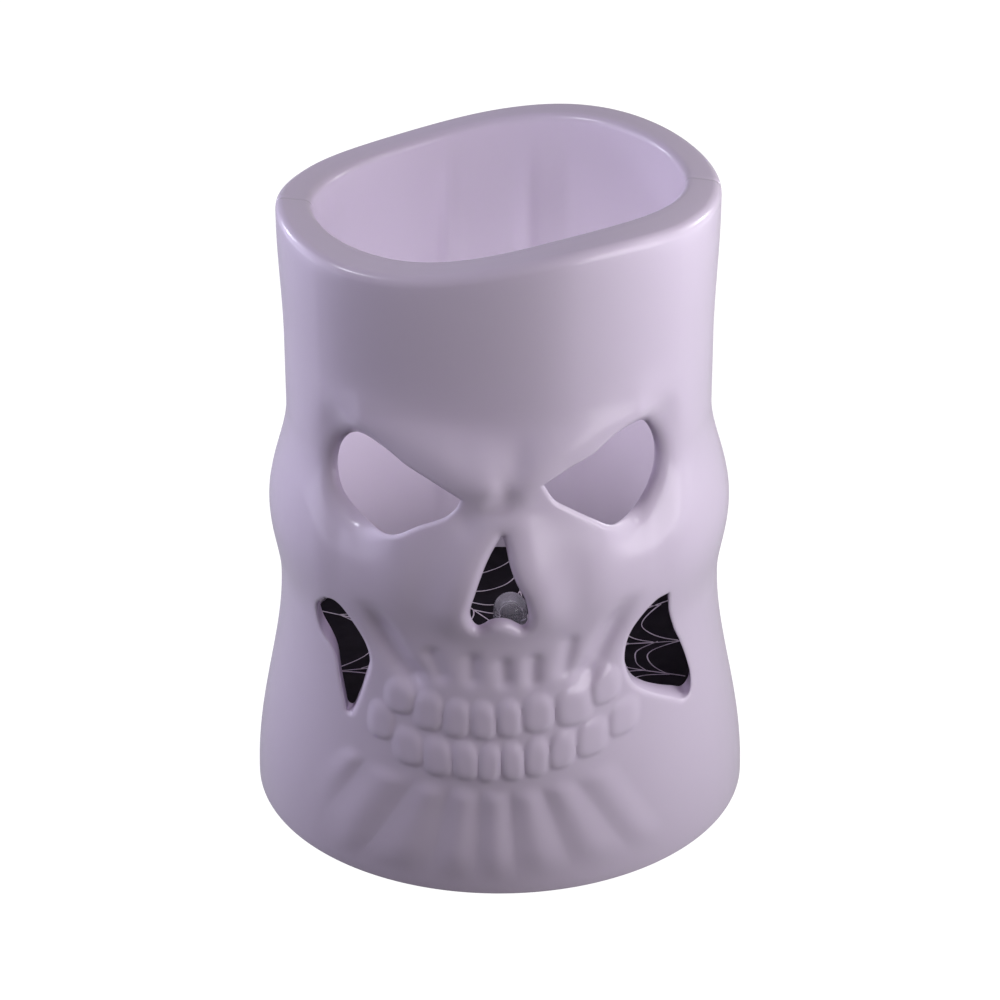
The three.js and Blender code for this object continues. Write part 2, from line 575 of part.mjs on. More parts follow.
// Foot cover: disc, battery box, screw holes, switch slot and the seats of the door
function basePlate() {
  const boxX = BOX_HALF_LENGTH + BOX_WALL;
  const boxY = BOX_HALF_WIDTH + BOX_WALL;
  const boxRound = innerRadius(BOX_TOP) - PLATE_GAP;
  const earPost = PLATE_TOP + DOOR_SCREW_LENGTH;
  const earHalf = EAR_WIDTH / 2 + DOOR_GAP;
  const hookHalf = HOOK_WIDTH / 2 + DOOR_GAP;
  const hookTop = PLATE_TOP + 2 * HOOK_THICKNESS + 2 * DOOR_GAP;
  const tabHalf = TAB_WIDTH / 2 + DOOR_GAP;
  const tabDepth = CONTACT_THICKNESS + DOOR_GAP;
  const box = block([-boxX, -boxY, PLATE_TOP - SINK_IN], [boxX, boxY, BOX_TOP]);
  let solid = rod([0, 0], FOOT_RECESS, PLATE_TOP, PLATE_RADIUS, LONG_SIDES);
  solid = solid.add(box.intersect(rod([0, 0], 0, BOX_TOP, boxRound, LONG_SIDES)));
  solid = solid.add(rod(earPlace, PLATE_TOP - SINK_IN, earPost, EAR_BORE + BOX_WALL));
  for (const x of [-1, 1]) {
    for (const y of [-1, 1]) {
      const middle = [x * (BOARD_LENGTH - BOARD_PAD_SIZE) / 2, y * (BOARD_WIDTH - BOARD_PAD_SIZE) / 2];
      const from = middle.map((value) => value - BOARD_PAD_SIZE / 2);
      const to = middle.map((value) => value + BOARD_PAD_SIZE / 2);
      solid = solid.add(block([...from, BOX_TOP - SINK_IN], [...to, BOARD_BOTTOM]));
    }
  }
  const bay = [BOX_HALF_LENGTH, BOX_HALF_WIDTH];
  solid = solid.subtract(block([-bay[0], -bay[1], 0], [bay[0], bay[1], BOX_CEILING]));
  const earFrom = [EAR_X - earHalf, EAR_END - DOOR_GAP, 0];
  solid = solid.subtract(block(earFrom, [EAR_X + earHalf, 1 - bay[1], DOOR_TOP + DOOR_GAP]));
  solid = solid.subtract(rod(earPlace, FOOT_RECESS, earPost + 1, EAR_BORE));
  solid = solid.subtract(block([-boxX - 1, -hookHalf, PLATE_TOP], [-bay[0] + 1, hookHalf, hookTop]));
  for (const y of [-CELL_Y, CELL_Y]) {
    const from = [BOX_HALF_LENGTH - tabDepth, y - tabHalf, BOX_CEILING - 1];
    solid = solid.subtract(block(from, [BOX_HALF_LENGTH, y + tabHalf, BOX_TOP + 1]));
  }
  for (const place of [...bossPlaces, ...legPlaces]) {
    const pocket = FOOT_RECESS + SCREW_SINK + SCREW_HEAD_HEIGHT;
    solid = solid.subtract(rod(place, 0, PLATE_TOP + 1, HOLE_RADIUS));
    solid = solid.subtract(rod(place, 0, pocket, SCREW_HEAD_RADIUS + SCREW_CLEARANCE));
  }
  const slotX = SLOT_LENGTH / 2;
  const slotY = SLOT_WIDTH / 2;
  return solid.subtract(block([-slotX, SWITCH_Y - slotY, 0], [slotX, SWITCH_Y + slotY, PLATE_TOP + 1]));
}

// Door: panel, screw ear on its front side and a hook at the left that swings in its slot
function batteryDoor() {
  const left = -BOX_HALF_LENGTH + DOOR_GAP;
  const right = BOX_HALF_LENGTH - DOOR_GAP;
  const half = BOX_HALF_WIDTH - DOOR_GAP;
  const hookBottom = PLATE_TOP + DOOR_GAP;
  const hookTop = hookBottom + HOOK_THICKNESS;
  const pocket = FOOT_RECESS + SCREW_SINK + SCREW_HEAD_HEIGHT;
  let solid = block([left, -half, FOOT_RECESS], [right, half, DOOR_TOP]);
  const earHalf = EAR_WIDTH / 2;
  solid = solid.add(block([EAR_X - earHalf, EAR_END, FOOT_RECESS], [EAR_X + earHalf, 1 - half, DOOR_TOP]));
  const hookHalf = HOOK_WIDTH / 2;
  const hookEnd = -BOX_HALF_LENGTH - HOOK_REACH;
  const hookStem = left + HOOK_THICKNESS;
  solid = solid.add(block([left, -hookHalf, DOOR_TOP - SINK_IN], [hookStem, hookHalf, hookTop]));
  solid = solid.add(block([hookEnd, -hookHalf, hookBottom], [left + SINK_IN, hookHalf, hookTop]));
  solid = solid.subtract(rod(earPlace, 0, DOOR_TOP + 1, HOLE_RADIUS));
  return solid.subtract(rod(earPlace, 0, pocket, SCREW_HEAD_RADIUS + SCREW_CLEARANCE));
}

// A screw pointing up, with its head's underside in its pocket
function screw([x, y], length) {
  const low = FOOT_RECESS + SCREW_SINK;
  const seat = low + SCREW_HEAD_HEIGHT;
  const tip = seat + length;
  const point = SCREW_RADIUS;
  const crown = SCREW_HEAD_RADIUS - SCREW_EDGE;
  const geometry = turned([[0, low], [crown, low], [SCREW_HEAD_RADIUS, low + SCREW_EDGE],
    [SCREW_HEAD_RADIUS, seat], [SCREW_RADIUS, seat], [SCREW_RADIUS, tip - point], [0, tip]], SCREW_SIDES);
  geometry.translate(x, y, 0);
  return toSolid(geometry);
}

// A cell along X, its positive end towards the given side
function cell(y, direction) {
  const radius = CELL_DIAMETER / 2;
  const body = CELL_LENGTH - CELL_NUB_LENGTH;
  const nub = CELL_NUB_DIAMETER / 2;
  const edge = CELL_EDGE;
  const geometry = turned([[0, 0], [radius - edge, 0], [radius, edge], [radius, body - edge],
    [radius - edge, body], [nub, body], [nub, CELL_LENGTH], [0, CELL_LENGTH]], CELL_SIDES);
  geometry.rotateY(direction * Math.PI / 2);
  geometry.translate(direction * (BOX_HALF_LENGTH - CONTACT_THICKNESS - CELL_LENGTH), y, CELL_Z);
  return toSolid(geometry);
}

const CONTACT_LOW = DOOR_TOP + CONTACT_LIFT;
const CONTACT_HIGH = BOX_CEILING - CELL_GAP;

// A contact plate against one end wall of the battery box
function contactPlate(direction, yLow, yHigh) {
  const wall = direction * BOX_HALF_LENGTH;
  const face = direction * (BOX_HALF_LENGTH - CONTACT_THICKNESS);
  return block([Math.min(wall, face), yLow, CONTACT_LOW], [Math.max(wall, face), yHigh, CONTACT_HIGH]);
}

// A bent leaf that presses on the flat end of a cell
function contactLeaf(direction, y) {
  const face = BOX_HALF_LENGTH - CONTACT_THICKNESS;
  const press = face - SPRING_ROOM;
  const thick = CONTACT_THICKNESS;
  const foot = CONTACT_LOW;
  const free = CONTACT_HIGH - 1;
  const outline = [[face + thick / 2, foot], [face + thick / 2, foot + thick], [press + thick, CELL_Z - 1],
    [press + thick, CELL_Z + 1], [face - 1, free], [face - 1 - thick, free], [press, CELL_Z + 1],
    [press, CELL_Z - 1]];
  const shape = new THREE.Shape(outline.map(([x, z]) => new THREE.Vector2(direction * x, z)));
  const geometry = new THREE.ExtrudeGeometry(shape, { depth: LEAF_WIDTH, bevelEnabled: false });
  geometry.rotateX(Math.PI / 2);
  geometry.translate(0, y + LEAF_WIDTH / 2, 0);
  return toSolid(geometry);
}

// A solder tab that stands up through the ceiling of the battery box
function solderTab(y) {
  const face = BOX_HALF_LENGTH - CONTACT_THICKNESS;
  const half = TAB_WIDTH / 2;
  const from = [face, y - half, CONTACT_HIGH - SINK_IN];
  return block(from, [BOX_HALF_LENGTH - SOLDER_GAP, y + half, BOX_TOP + TAB_RISE]);
}

function positiveContact() {
  const plate = contactPlate(1, -CELL_Y - CONTACT_WIDTH / 2, -CELL_Y + CONTACT_WIDTH / 2);
  return plate.add(solderTab(-CELL_Y));
}

function negativeContact() {
  const plate = contactPlate(1, CELL_Y - CONTACT_WIDTH / 2, CELL_Y + CONTACT_WIDTH / 2);
  return plate.add(solderTab(CELL_Y)).add(contactLeaf(1, CELL_Y));
}

function linkContact() {
  const reach = CELL_Y + CONTACT_WIDTH / 2;
  return contactPlate(-1, -reach, reach).add(contactLeaf(-1, -CELL_Y));
}

// Deck: a disc on three legs that stand on the foot cover
function deckPlate() {
  const radius = innerRadius(DECK_TOP) - DECK_GAP;
  let solid = rod([0, 0], DECK_BOTTOM, DECK_TOP, radius, LONG_SIDES);
  for (const place of legPlaces) {
    solid = solid.add(rod(place, PLATE_TOP, DECK_BOTTOM + SINK_IN, LEG_RADIUS));
    solid = solid.subtract(rod(place, PLATE_TOP - 1, PLATE_TOP + SCREW_LENGTH, HOLE_RADIUS));
  }
  return solid.subtract(rod([LED_X, LED_Y], 0, HEIGHT, LED_FLANGE_RADIUS + LED_CLEARANCE));
}

function webCard() {
  const radius = innerRadius(DECK_TOP) - DECK_GAP - CARD_MARGIN;
  const disc = rod([0, 0], DECK_TOP, DECK_TOP + CARD_THICKNESS, radius, LONG_SIDES);
  return disc.subtract(rod([LED_X, LED_Y], 0, HEIGHT, LED_FLANGE_RADIUS + LED_CLEARANCE));
}

// Diode: flange, straight body and a round dome
function ledLens() {
  const shoulder = LED_LENGTH - LED_RADIUS;
  const dome = steps(0, Math.PI / 2, Math.PI / 12).map((turn) => [
    LED_RADIUS * Math.cos(turn), shoulder + LED_RADIUS * Math.sin(turn)]);
  dome.at(-1)[0] = 0;
  const geometry = turned([[0, 0], [LED_FLANGE_RADIUS, 0], [LED_FLANGE_RADIUS, LED_FLANGE_HEIGHT],
    [LED_RADIUS, LED_FLANGE_HEIGHT], ...dome], 20);
  geometry.translate(LED_X, LED_Y, LED_BOTTOM);
  return toSolid(geometry);
}

const leadPlaces = [-1, 1].map((side) => [LED_X + side * LEAD_PITCH / 2, LED_Y]);

function ledLead([x, y]) {
  const half = LEAD_SIDE / 2;
  return block([x - half, y - half, BOX_TOP + SOLDER_GAP], [x + half, y + half, LED_BOTTOM]);
}

function circuitBoard() {
  const half = [BOARD_LENGTH / 2, BOARD_WIDTH / 2];
  let solid = block([-half[0], -half[1], BOARD_BOTTOM], [half[0], half[1], BOARD_TOP]);
  const bore = LEAD_SIDE / 2 + LEAD_CLEARANCE;
  for (const [x, y] of leadPlaces) {
    solid = solid.subtract(block([x - bore, y - bore, 0], [x + bore, y + bore, HEIGHT]));
  }
  return solid;
}

function chipBlob() {
  const dome = steps(0, Math.PI / 2, Math.PI / 8).map((turn) => [
    CHIP_RADIUS * Math.cos(turn), CHIP_HEIGHT * Math.sin(turn)]);
  dome.at(-1)[0] = 0;
  const geometry = turned([[0, 0], ...dome], ROUND_SIDES);
  geometry.translate(-BOARD_LENGTH / 4 - CHIP_RADIUS / 2, 0, BOARD_TOP);
  return toSolid(geometry);
}

function resistorBody() {
  const geometry = new THREE.CylinderGeometry(RESISTOR_RADIUS, RESISTOR_RADIUS, RESISTOR_LENGTH, 12);
  geometry.translate(BOARD_LENGTH / 3, 0, BOARD_TOP + RESISTOR_RADIUS + SOLDER_GAP);
  return toSolid(geometry);
}

// A wire along a smooth path through points
function wire(points) {
  const path = new THREE.CatmullRomCurve3(points.map((point) => new THREE.Vector3(...point)));
  const section = new THREE.Shape();
  section.absarc(0, 0, WIRE_RADIUS, 0, 2 * Math.PI, false);
  const geometry = new THREE.ExtrudeGeometry(section, {
    steps: 14, curveSegments: 4, bevelEnabled: false, extrudePath: path });
  return toSolid(geometry);
}

const WIRE_ON_BOARD = BOARD_TOP + WIRE_RADIUS + SOLDER_GAP;
const TAB_SIDE_X = BOX_HALF_LENGTH - CONTACT_THICKNESS - WIRE_GAP;
const WIRE_ON_TAB = BOX_TOP + WIRE_RADIUS + WIRE_GAP;
const WIRE_ON_SWITCH = SWITCH_TOP + WIRE_GAP;

function redWire() {
  const end = BOARD_LENGTH / 2 - 1;
  return wire([[TAB_SIDE_X, -CELL_Y, WIRE_ON_TAB], [TAB_SIDE_X - 4, -CELL_Y, WIRE_ON_TAB + 0.3],
    [end + 3, -CELL_Y, WIRE_ON_BOARD], [end, -CELL_Y, WIRE_ON_BOARD]]);
}

function blackWire() {
  const x = -SWITCH_HALF_LENGTH / 2;
  const edge = BOX_HALF_WIDTH + BOX_WALL;
  return wire([[x, SWITCH_Y, WIRE_ON_SWITCH], [x, SWITCH_Y, WIRE_ON_SWITCH + 4], [x, edge + 2, BOX_TOP],
    [x, edge - 1.5, WIRE_ON_BOARD], [x, BOARD_WIDTH / 2 + 1, WIRE_ON_BOARD],
    [x, BOARD_WIDTH / 2 - 1, WIRE_ON_BOARD]]);
}

function yellowWire() {
  const x = SWITCH_HALF_LENGTH / 2;
  const edge = BOX_HALF_WIDTH + BOX_WALL;
  return wire([[TAB_SIDE_X, CELL_Y, WIRE_ON_TAB], [TAB_SIDE_X - 4, CELL_Y + 2, WIRE_ON_TAB + 0.3],
    [BOARD_LENGTH / 2 + 2, edge - 1, WIRE_ON_TAB + 0.8], [x + 1, edge + 2.5, BOX_TOP],
    [x, SWITCH_Y, WIRE_ON_SWITCH + 4], [x, SWITCH_Y, WIRE_ON_SWITCH]]);
}

// Switch housing: a small box over the slot, hollow below for the slider's carrier
function switchHousing() {
  const cavityX = SWITCH_HALF_LENGTH - SWITCH_WALL;
  const cavityY = SWITCH_HALF_WIDTH - SWITCH_WALL;
  const roof = PLATE_TOP + CARRIER_THICKNESS + 2 * SWITCH_CLEARANCE;
  const outer = block([-SWITCH_HALF_LENGTH, SWITCH_Y - SWITCH_HALF_WIDTH, PLATE_TOP],
    [SWITCH_HALF_LENGTH, SWITCH_Y + SWITCH_HALF_WIDTH, SWITCH_TOP]);
  return outer.subtract(block([-cavityX, SWITCH_Y - cavityY, 0], [cavityX, SWITCH_Y + cavityY, roof]));
}

// Slider at its off end: a knob through the slot under a wider carrier
function switchSlider() {
  const x = -SWITCH_TRAVEL / 2;
  const low = PLATE_TOP + SWITCH_CLEARANCE;
  const carrier = block([x - CARRIER_LENGTH / 2, SWITCH_Y - CARRIER_WIDTH / 2, low],
    [x + CARRIER_LENGTH / 2, SWITCH_Y + CARRIER_WIDTH / 2, low + CARRIER_THICKNESS]);
  const knob = block([x - KNOB_LENGTH / 2, SWITCH_Y - KNOB_WIDTH / 2, KNOB_TIP_Z],
    [x + KNOB_LENGTH / 2, SWITCH_Y + KNOB_WIDTH / 2, low + SINK_IN]);
  return carrier.add(knob);
}

// Finishes
const shellWhite = { color: 0xd9d3e0, roughness: 0.38, metalness: 0 };
const blackPlastic = { color: 0x17171a, roughness: 0.55, metalness: 0 };
const cardBlack = { color: 0x0d0d10, roughness: 0.75, metalness: 0 };
const clearLens = { color: 0xdfe3ea, roughness: 0.06, metalness: 0 };
const tinnedWire = { color: 0xb9bcc2, roughness: 0.35, metalness: 1 };
const steel = { color: 0x9a9da3, roughness: 0.32, metalness: 1 };
const nickel = { color: 0xc4bfae, roughness: 0.28, metalness: 1 };
const boardGreen = { color: 0x1f5a38, roughness: 0.5, metalness: 0 };
const epoxyBlack = { color: 0x0a0a0b, roughness: 0.25, metalness: 0 };
const resistorTan = { color: 0xc9ab78, roughness: 0.5, metalness: 0 };
const cellGrey = { color: 0x3a4657, roughness: 0.35, metalness: 0.4 };
const switchGrey = { color: 0x4a4a4f, roughness: 0.5, metalness: 0 };
const wireRed = { color: 0xa81f22, roughness: 0.5, metalness: 0 };
const wireBlack = { color: 0x151517, roughness: 0.5, metalness: 0 };
const wireYellow = { color: 0xd0a92a, roughness: 0.5, metalness: 0 };

const pot = new THREE.Group();

function addPiece(name, solid, finish) {
  const mesh = new THREE.Mesh(toGeometry(solid), new THREE.MeshStandardMaterial(finish));
  mesh.name = name;
  pot.add(mesh);
}

addPiece('front_shell', frontShell(), shellWhite);
addPiece('rear_shell', rearShell(), shellWhite);
addPiece('base_plate', basePlate(), blackPlastic);
addPiece('battery_door', batteryDoor(), blackPlastic);
addPiece('door_screw', screw(earPlace, DOOR_SCREW_LENGTH), steel);
bossPlaces.forEach((place, k) => addPiece(`base_screw_${k + 1}`, screw(place, SCREW_LENGTH), steel));
legPlaces.forEach((place, k) => addPiece(`deck_screw_${k + 1}`, screw(place, SCREW_LENGTH), steel));
addPiece('cell_1', cell(-CELL_Y, 1), cellGrey);
addPiece('cell_2', cell(CELL_Y, -1), cellGrey);
addPiece('positive_contact', positiveContact(), nickel);
addPiece('negative_contact', negativeContact(), nickel);
addPiece('link_contact', linkContact(), nickel);
addPiece('deck_plate', deckPlate(), blackPlastic);
addPiece('web_card', webCard(), cardBlack);
addPiece('led_lens', ledLens(), clearLens);
addPiece('led_lead_cathode', ledLead(leadPlaces[0]), tinnedWire);
addPiece('led_lead_anode', ledLead(leadPlaces[1]), tinnedWire);
addPiece('circuit_board', circuitBoard(), boardGreen);
addPiece('chip_blob', chipBlob(), epoxyBlack);
addPiece('resistor', resistorBody(), resistorTan);
addPiece('red_wire', redWire(), wireRed);
addPiece('black_wire', blackWire(), wireBlack);
addPiece('yellow_wire', yellowWire(), wireYellow);
addPiece('switch_housing', switchHousing(), switchGrey);
addPiece('switch_slider', switchSlider(), switchGrey);

export default pot;
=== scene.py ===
"""Looks of a skull candle pot: white shells with a pierced face, a printed deck, a lamp and a black foot."""
import math

import bpy
import numpy as np
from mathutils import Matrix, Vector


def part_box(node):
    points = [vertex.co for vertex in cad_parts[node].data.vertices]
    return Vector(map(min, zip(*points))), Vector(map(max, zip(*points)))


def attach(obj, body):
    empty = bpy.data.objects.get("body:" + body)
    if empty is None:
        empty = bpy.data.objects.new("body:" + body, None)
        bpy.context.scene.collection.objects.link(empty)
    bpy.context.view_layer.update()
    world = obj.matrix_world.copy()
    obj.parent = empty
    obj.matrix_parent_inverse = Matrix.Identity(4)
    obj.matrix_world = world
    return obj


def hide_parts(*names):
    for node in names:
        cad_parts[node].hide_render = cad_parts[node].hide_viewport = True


bl_info = {
    "name": "Skull candle pot",
    "version": (1, 0, 0),
    "blender": (4, 5, 0),
    "location": "View3D > Sidebar > Skull pot",
    "description": "Builds the visible pieces of a skull candle pot around its packed model",
    "category": "Add Mesh",
}

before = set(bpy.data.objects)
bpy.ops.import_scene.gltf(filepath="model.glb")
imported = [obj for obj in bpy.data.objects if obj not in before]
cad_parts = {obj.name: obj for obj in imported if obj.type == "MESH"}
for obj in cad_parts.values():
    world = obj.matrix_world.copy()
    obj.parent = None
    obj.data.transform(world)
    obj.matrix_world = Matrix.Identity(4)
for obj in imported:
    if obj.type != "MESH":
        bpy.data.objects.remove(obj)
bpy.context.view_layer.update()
MM = 0.001

# Body of the pot in millimetres: heights and the radii that are reached there
HEIGHT = 92.7
FRONT_STATIONS = np.array([(0, 36), (34, 31.7), (45.5, 33.1), (61, 30.2), (71, 30.2), (90.2, 30.8)])
BACK_STATIONS = np.array([(0, 36), (61, 30.2), (71, 30.2), (90.2, 30.8)])
INNER_STATIONS = np.array([(0, 32.7), (34, 28.4), (92.7, 25.6)])
BACK_BLEND = 1.2
RIM_RADIUS = 30.8
RIM_ROUND = (1.1, 1.5)
RIM_INNER_ROUND = 1.2
RIM_FLATS = (0.35, 0.7)
RIM_TURNS = 9
RIM_INNER_TURNS = 6
RIM_FRONT_EXTRA = 3.6
RIM_FRONT_FROM = (HEIGHT - 22, 22)
RIM_TILT = 0.032
RIM_WAVE = 1.6
RIM_WAVE_SKEW = 0.15
RIM_WAVE_FROM = (HEIGHT - 26, 26)
RIM_BACK_DROP = 0.35
RIM_BACK_FROM = (-6, 20)
RIM_LEFT_DROP = 0.8
RIM_LEFT_REACH = 25
SEAM_GROOVE = 0.1
SEAM_FADE = (np.pi / 2, 0.4)
FOOT_FADE = (0, 4)

# Upright folds in the bore of the rear half: the angle, reach and sign of each, and where they fade
BORE_FOLDS = [(2.98, 0.06, 1), (3.42, 0.05, -1), (2.75, 0.09, -1)]
BORE_FOLD_TOP = (HEIGHT, 14)
BORE_FOLD_FOOT = (20, 10)

# Nets of the shells: marks of a place, each with the step from there to the next mark
SEAM_STEP = 0.009
RIM_START = HEIGHT - 2 * RIM_ROUND[1]
BORE_END = HEIGHT - RIM_INNER_ROUND
FACE_MIDDLE_NET = [(-0.72, 0.0098), (0.72, 1)]
FACE_SIDE_NET = [(0.72, 0.016), (1.1, 0.022), (np.pi / 2 - SEAM_STEP, 1)]
FACE_HEIGHT_NET = [(0, 0.8), (4, 0.45), (15, 0.33), (38, 0.45), (70, 0.9), (RIM_START, 1)]
FACE_BORE_NET = [(0, 3), (15, 0.7), (70, 1.6), (BORE_END, 1)]
BACK_TURN_NET = [(np.pi / 2 + SEAM_STEP, 0.028), (3 * np.pi / 2 - SEAM_STEP, 1)]
BACK_HEIGHT_NET = [(0, 1.4), (RIM_START, 1)]
BACK_BORE_NET = [(0, 3), (18, 1.4), (BORE_END, 1)]
COUNT_SLACK = 1e-6
ORDER_STEP = 1e-7

# Edges of the openings: how near a vertex moves onto an edge, and how many rings make its round
OUTER_SNAP = 0.16
INNER_SNAP = 0.22
SNAP_MARGIN = 3
SNAP_PASSES = 6
EVEN_PASSES = 3
OUTER_RINGS = 8
INNER_RINGS = 4
FAN_COUNT = 9
CURVE_STEPS = 9
EDGE_SIDES = (15, 5)
GAP_MARGIN = 12
FAR = 99.0
WELD = 0.0005

# Printed web: its middle on the card, the angles of its threads and the shares of a thread at its arcs
WEB_MIDDLE = np.array([5.5, -2.5])
WEB_THREADS = np.radians([8, 36, 66, 97, 128, 160, 191, 219, 250, 281, 311, 340])
WEB_ARCS = (0.1, 0.2, 0.32, 0.45, 0.59, 0.74, 0.9)
WEB_MARGIN = 0.6
PRINT_HEIGHT = 0.05
THREAD_STEPS = 18
THREAD_START = 0.04
THREAD_WANDER = 0.3
ARC_WANDER = 0.15
ARC_SLANT = 1.03
ARC_SAG = 0.82

# Diode: its foot as offsets from the flange's radius with heights, its posts with widths and tops, its cup
LENS_STEP = 0.4
LENS_FOOT = [(-0.1, 0), (0, 0.1), (0, 0.85), (-0.15, 1), (-LENS_STEP, 1.02)]
LENS_SIDES = 72
DOME_COUNT = 14
POSTS = [("led_lead_cathode", 1.1, 4.2), ("led_lead_anode", 0.55, 4.6)]
POST_FOOT = 0.3
POST_HALF = 0.25
CUP = [(0, 0), (0.5, 0), (0.8, 0.6), (0.65, 0.6), (0.4, 0.2), (0, 0.2)]
CUP_LEVEL = 4
CUP_SIDES = 32

# Screw heads with their cross, and the bars on the battery door
HEAD_HEIGHT = 0.8
HEAD_FLAT = 0.5
HEAD_EDGE = [(-0.2, 0.1), (0, 0.35), (0, HEAD_HEIGHT)]
HEAD_RINGS = 16
SCREW_SIDES = 64
CROSS_SIDE = (0.42, 0.15)
CROSS_END = (1.5, 0.25)
CROSS_DEPTH = 0.5
FACE_SLACK = 0.01
GRIP_BARS = 4
GRIP_HALF = 6
GRIP_FIRST = 3.5
GRIP_PITCH = 1.6
GRIP_WIDTH = 0.8
GRIP_RISE = 0.35
GRIP_ROOT = 0.1

# Finishes: angles in degrees past which an edge stays sharp, and the shared grain
SHELL_SHARP = 40
PIECE_SHARP = 30
SLOW_SHARE = 0.06
SLOW_DETAIL = 4
FINE_DETAIL = 3
CLOUD_RANGE = (0.3, 0.7)
LEAST_ROUGH = 0.02
BUMP_DISTANCE = 0.0002

# Studio: the floor is a ring round the foot, so that light from below reaches the underside
FLOOR_SIDES = 128
FLOOR_HOLE = 35.8
FLOOR_REACH = 4000
FLOOR_ROUGH = 0.9
FLOOR_GLOW = 1.25
FLOOR_SHOWN = 0.85
GLOSS_SHARE = 0.25
WHITE = (1, 1, 1, 1)
WORLD_COLOUR = (1, 0.76, 0.93, 1)
WORLD_STRENGTH = 0.09
# Lamps: name, place, the point that each looks at, size in metres, power in watts and colour
MIDDLE = (0, 0, 0.06)
ABOVE = (0, 0, 0.18)
LAMPS = [("key_right", (0.158, -0.115, 0.132), ABOVE, 0.16, 0.295, (0.97, 0.93, 1)),
         ("side_right", (0.19, 0.03, 0.125), ABOVE, 0.2, 0.14, (0.94, 0.925, 1)),
         ("fill_left", (-0.178, 0.02, 0.134), ABOVE, 0.2, 0.235, (0.81, 0.775, 1)),
         ("high_right", (0.26, -0.01, 0.31), MIDDLE, 0.035, 0.075, (1, 0.98, 1)),
         ("high_left", (-0.23, -0.05, 0.34), MIDDLE, 0.035, 0.225, (0.9, 0.9, 1)),
         ("edge_right", (0.254, 0.159, 0.15), MIDDLE, 0.05, 0.11, (1, 0.98, 1)),
         ("edge_left", (-0.254, 0.159, 0.15), MIDDLE, 0.05, 0.15, (0.85, 0.85, 1))]
BORE_LAMP = ("bore_soft", (-0.005, -0.008, 0.054), (-0.005, 0.03, 0.054), 0.042, 0.009, (0.98, 0.95, 1))
CAMERA_PLACE = (0, -0.45, 0.2821)
CAMERA_TURN = np.radians((62.1, 0.14, -0.09))
CAMERA_LENS = 126.9
CAMERA_SENSOR = 36
CAMERA_NEAR = 0.01

# Openings of the face, in its own leaning frame; the first point of each is a sharp corner
FACE_TILT = 0.033
LEFT_EYE = [(-5.2, 59.9), (-8.9, 62.1), (-12.6, 64), (-15.7, 65.8), (-18.6, 65.8), (-21.2, 63.4),
            (-22.3, 59.1), (-21.5, 55.6), (-18.6, 53.5), (-14.9, 53.4), (-10.9, 55.4), (-7, 57.2),
            (-5.7, 58.6)]
RIGHT_EYE = [(6, 61.7), (9.3, 63.4), (12.9, 64.9), (15.9, 66.8), (18.7, 66.2), (20.6, 63.4), (21.5, 59.1),
             (20.8, 55.6), (18.7, 53.1), (15.8, 53.2), (12.7, 55.2), (9.6, 57.3), (7.4, 59)]
LEFT_CHEEK = [(-24.4, 40.3), (-25.6, 38.3), (-25.6, 36.1), (-25, 34), (-23.7, 32.6), (-22.9, 31.2),
              (-22.5, 28.5), (-21.9, 25.4), (-21.5, 23.9), (-20.9, 23.9), (-19.9, 26.1), (-18.9, 29.4),
              (-18.1, 32.8), (-18.6, 35.1), (-20.4, 38.1), (-22.3, 40.3), (-23.3, 40.7)]
RIGHT_CHEEK = [(23.5, 40), (23.7, 36.6), (24.5, 33), (25.5, 30.1), (26.6, 26.4), (27.2, 23.5), (27, 21.4),
               (26.1, 21.2), (24.3, 22.7), (22.3, 24.3), (20.3, 26), (18.7, 27.8), (17.7, 30.3),
               (17.4, 32.6), (18.1, 35.8), (19.8, 38.2), (22, 39.9)]
NOSE = [(0.4, 54.4), (0.9, 52.8), (1.4, 50.4), (2.3, 47.8), (3.4, 45.5), (3.9, 42.9), (3.6, 41.2),
        (3.1, 40.9), (2.3, 41.4), (1.3, 42.1), (0.1, 42.4), (-1.3, 42.1), (-2.2, 41.4), (-2.9, 41.1),
        (-3.5, 41.6), (-4, 43.4), (-3.2, 46.6), (-2, 50.1), (-0.8, 52.6)]
# Where each opening keeps its place on its way in, and how much it grows there away from that place
FLARES = [((-16, 67), 1.17), ((16, 67), 1.17), ((0, 55), 1.18), ((-22, 40), 1.045), ((22, 40), 1.045)]

# Forms of the face: middle, height, half width and half height of each tooth
UPPER_TEETH = [(-14, 29.1, 2, 2.9), (-9.9, 27.8, 1.95, 3.2), (-6, 27.2, 1.9, 3.2), (-2.35, 27, 1.8, 3.2),
               (1.25, 27.2, 1.8, 3.2), (5.3, 27.6, 2.2, 3.2), (10.2, 27.7, 2.55, 3.2), (14.8, 29.4, 2, 3)]
LOWER_TEETH = [(-16.6, 24.7, 1.8, 3), (-12.85, 21.9, 2.1, 3), (-8.7, 21.1, 2.05, 3.1),
               (-4.85, 20.9, 1.85, 3.2), (-1.45, 20.6, 1.6, 3.2), (1.75, 20.7, 1.65, 3.2),
               (5.1, 21, 1.75, 3.2), (8.7, 21.6, 1.95, 3.1), (12.9, 22.3, 2.3, 3), (17.4, 23.7, 2.1, 2.9)]
UPPER_GUM = 1.05
LOWER_GUM = 1.1
TOOTH_OVERLAP = 1.18
TOOTH_LEAN = 0.08
TOOTH_LEAN_TURN = 3
TOOTH_POWERS = (2.4, 2, 4)
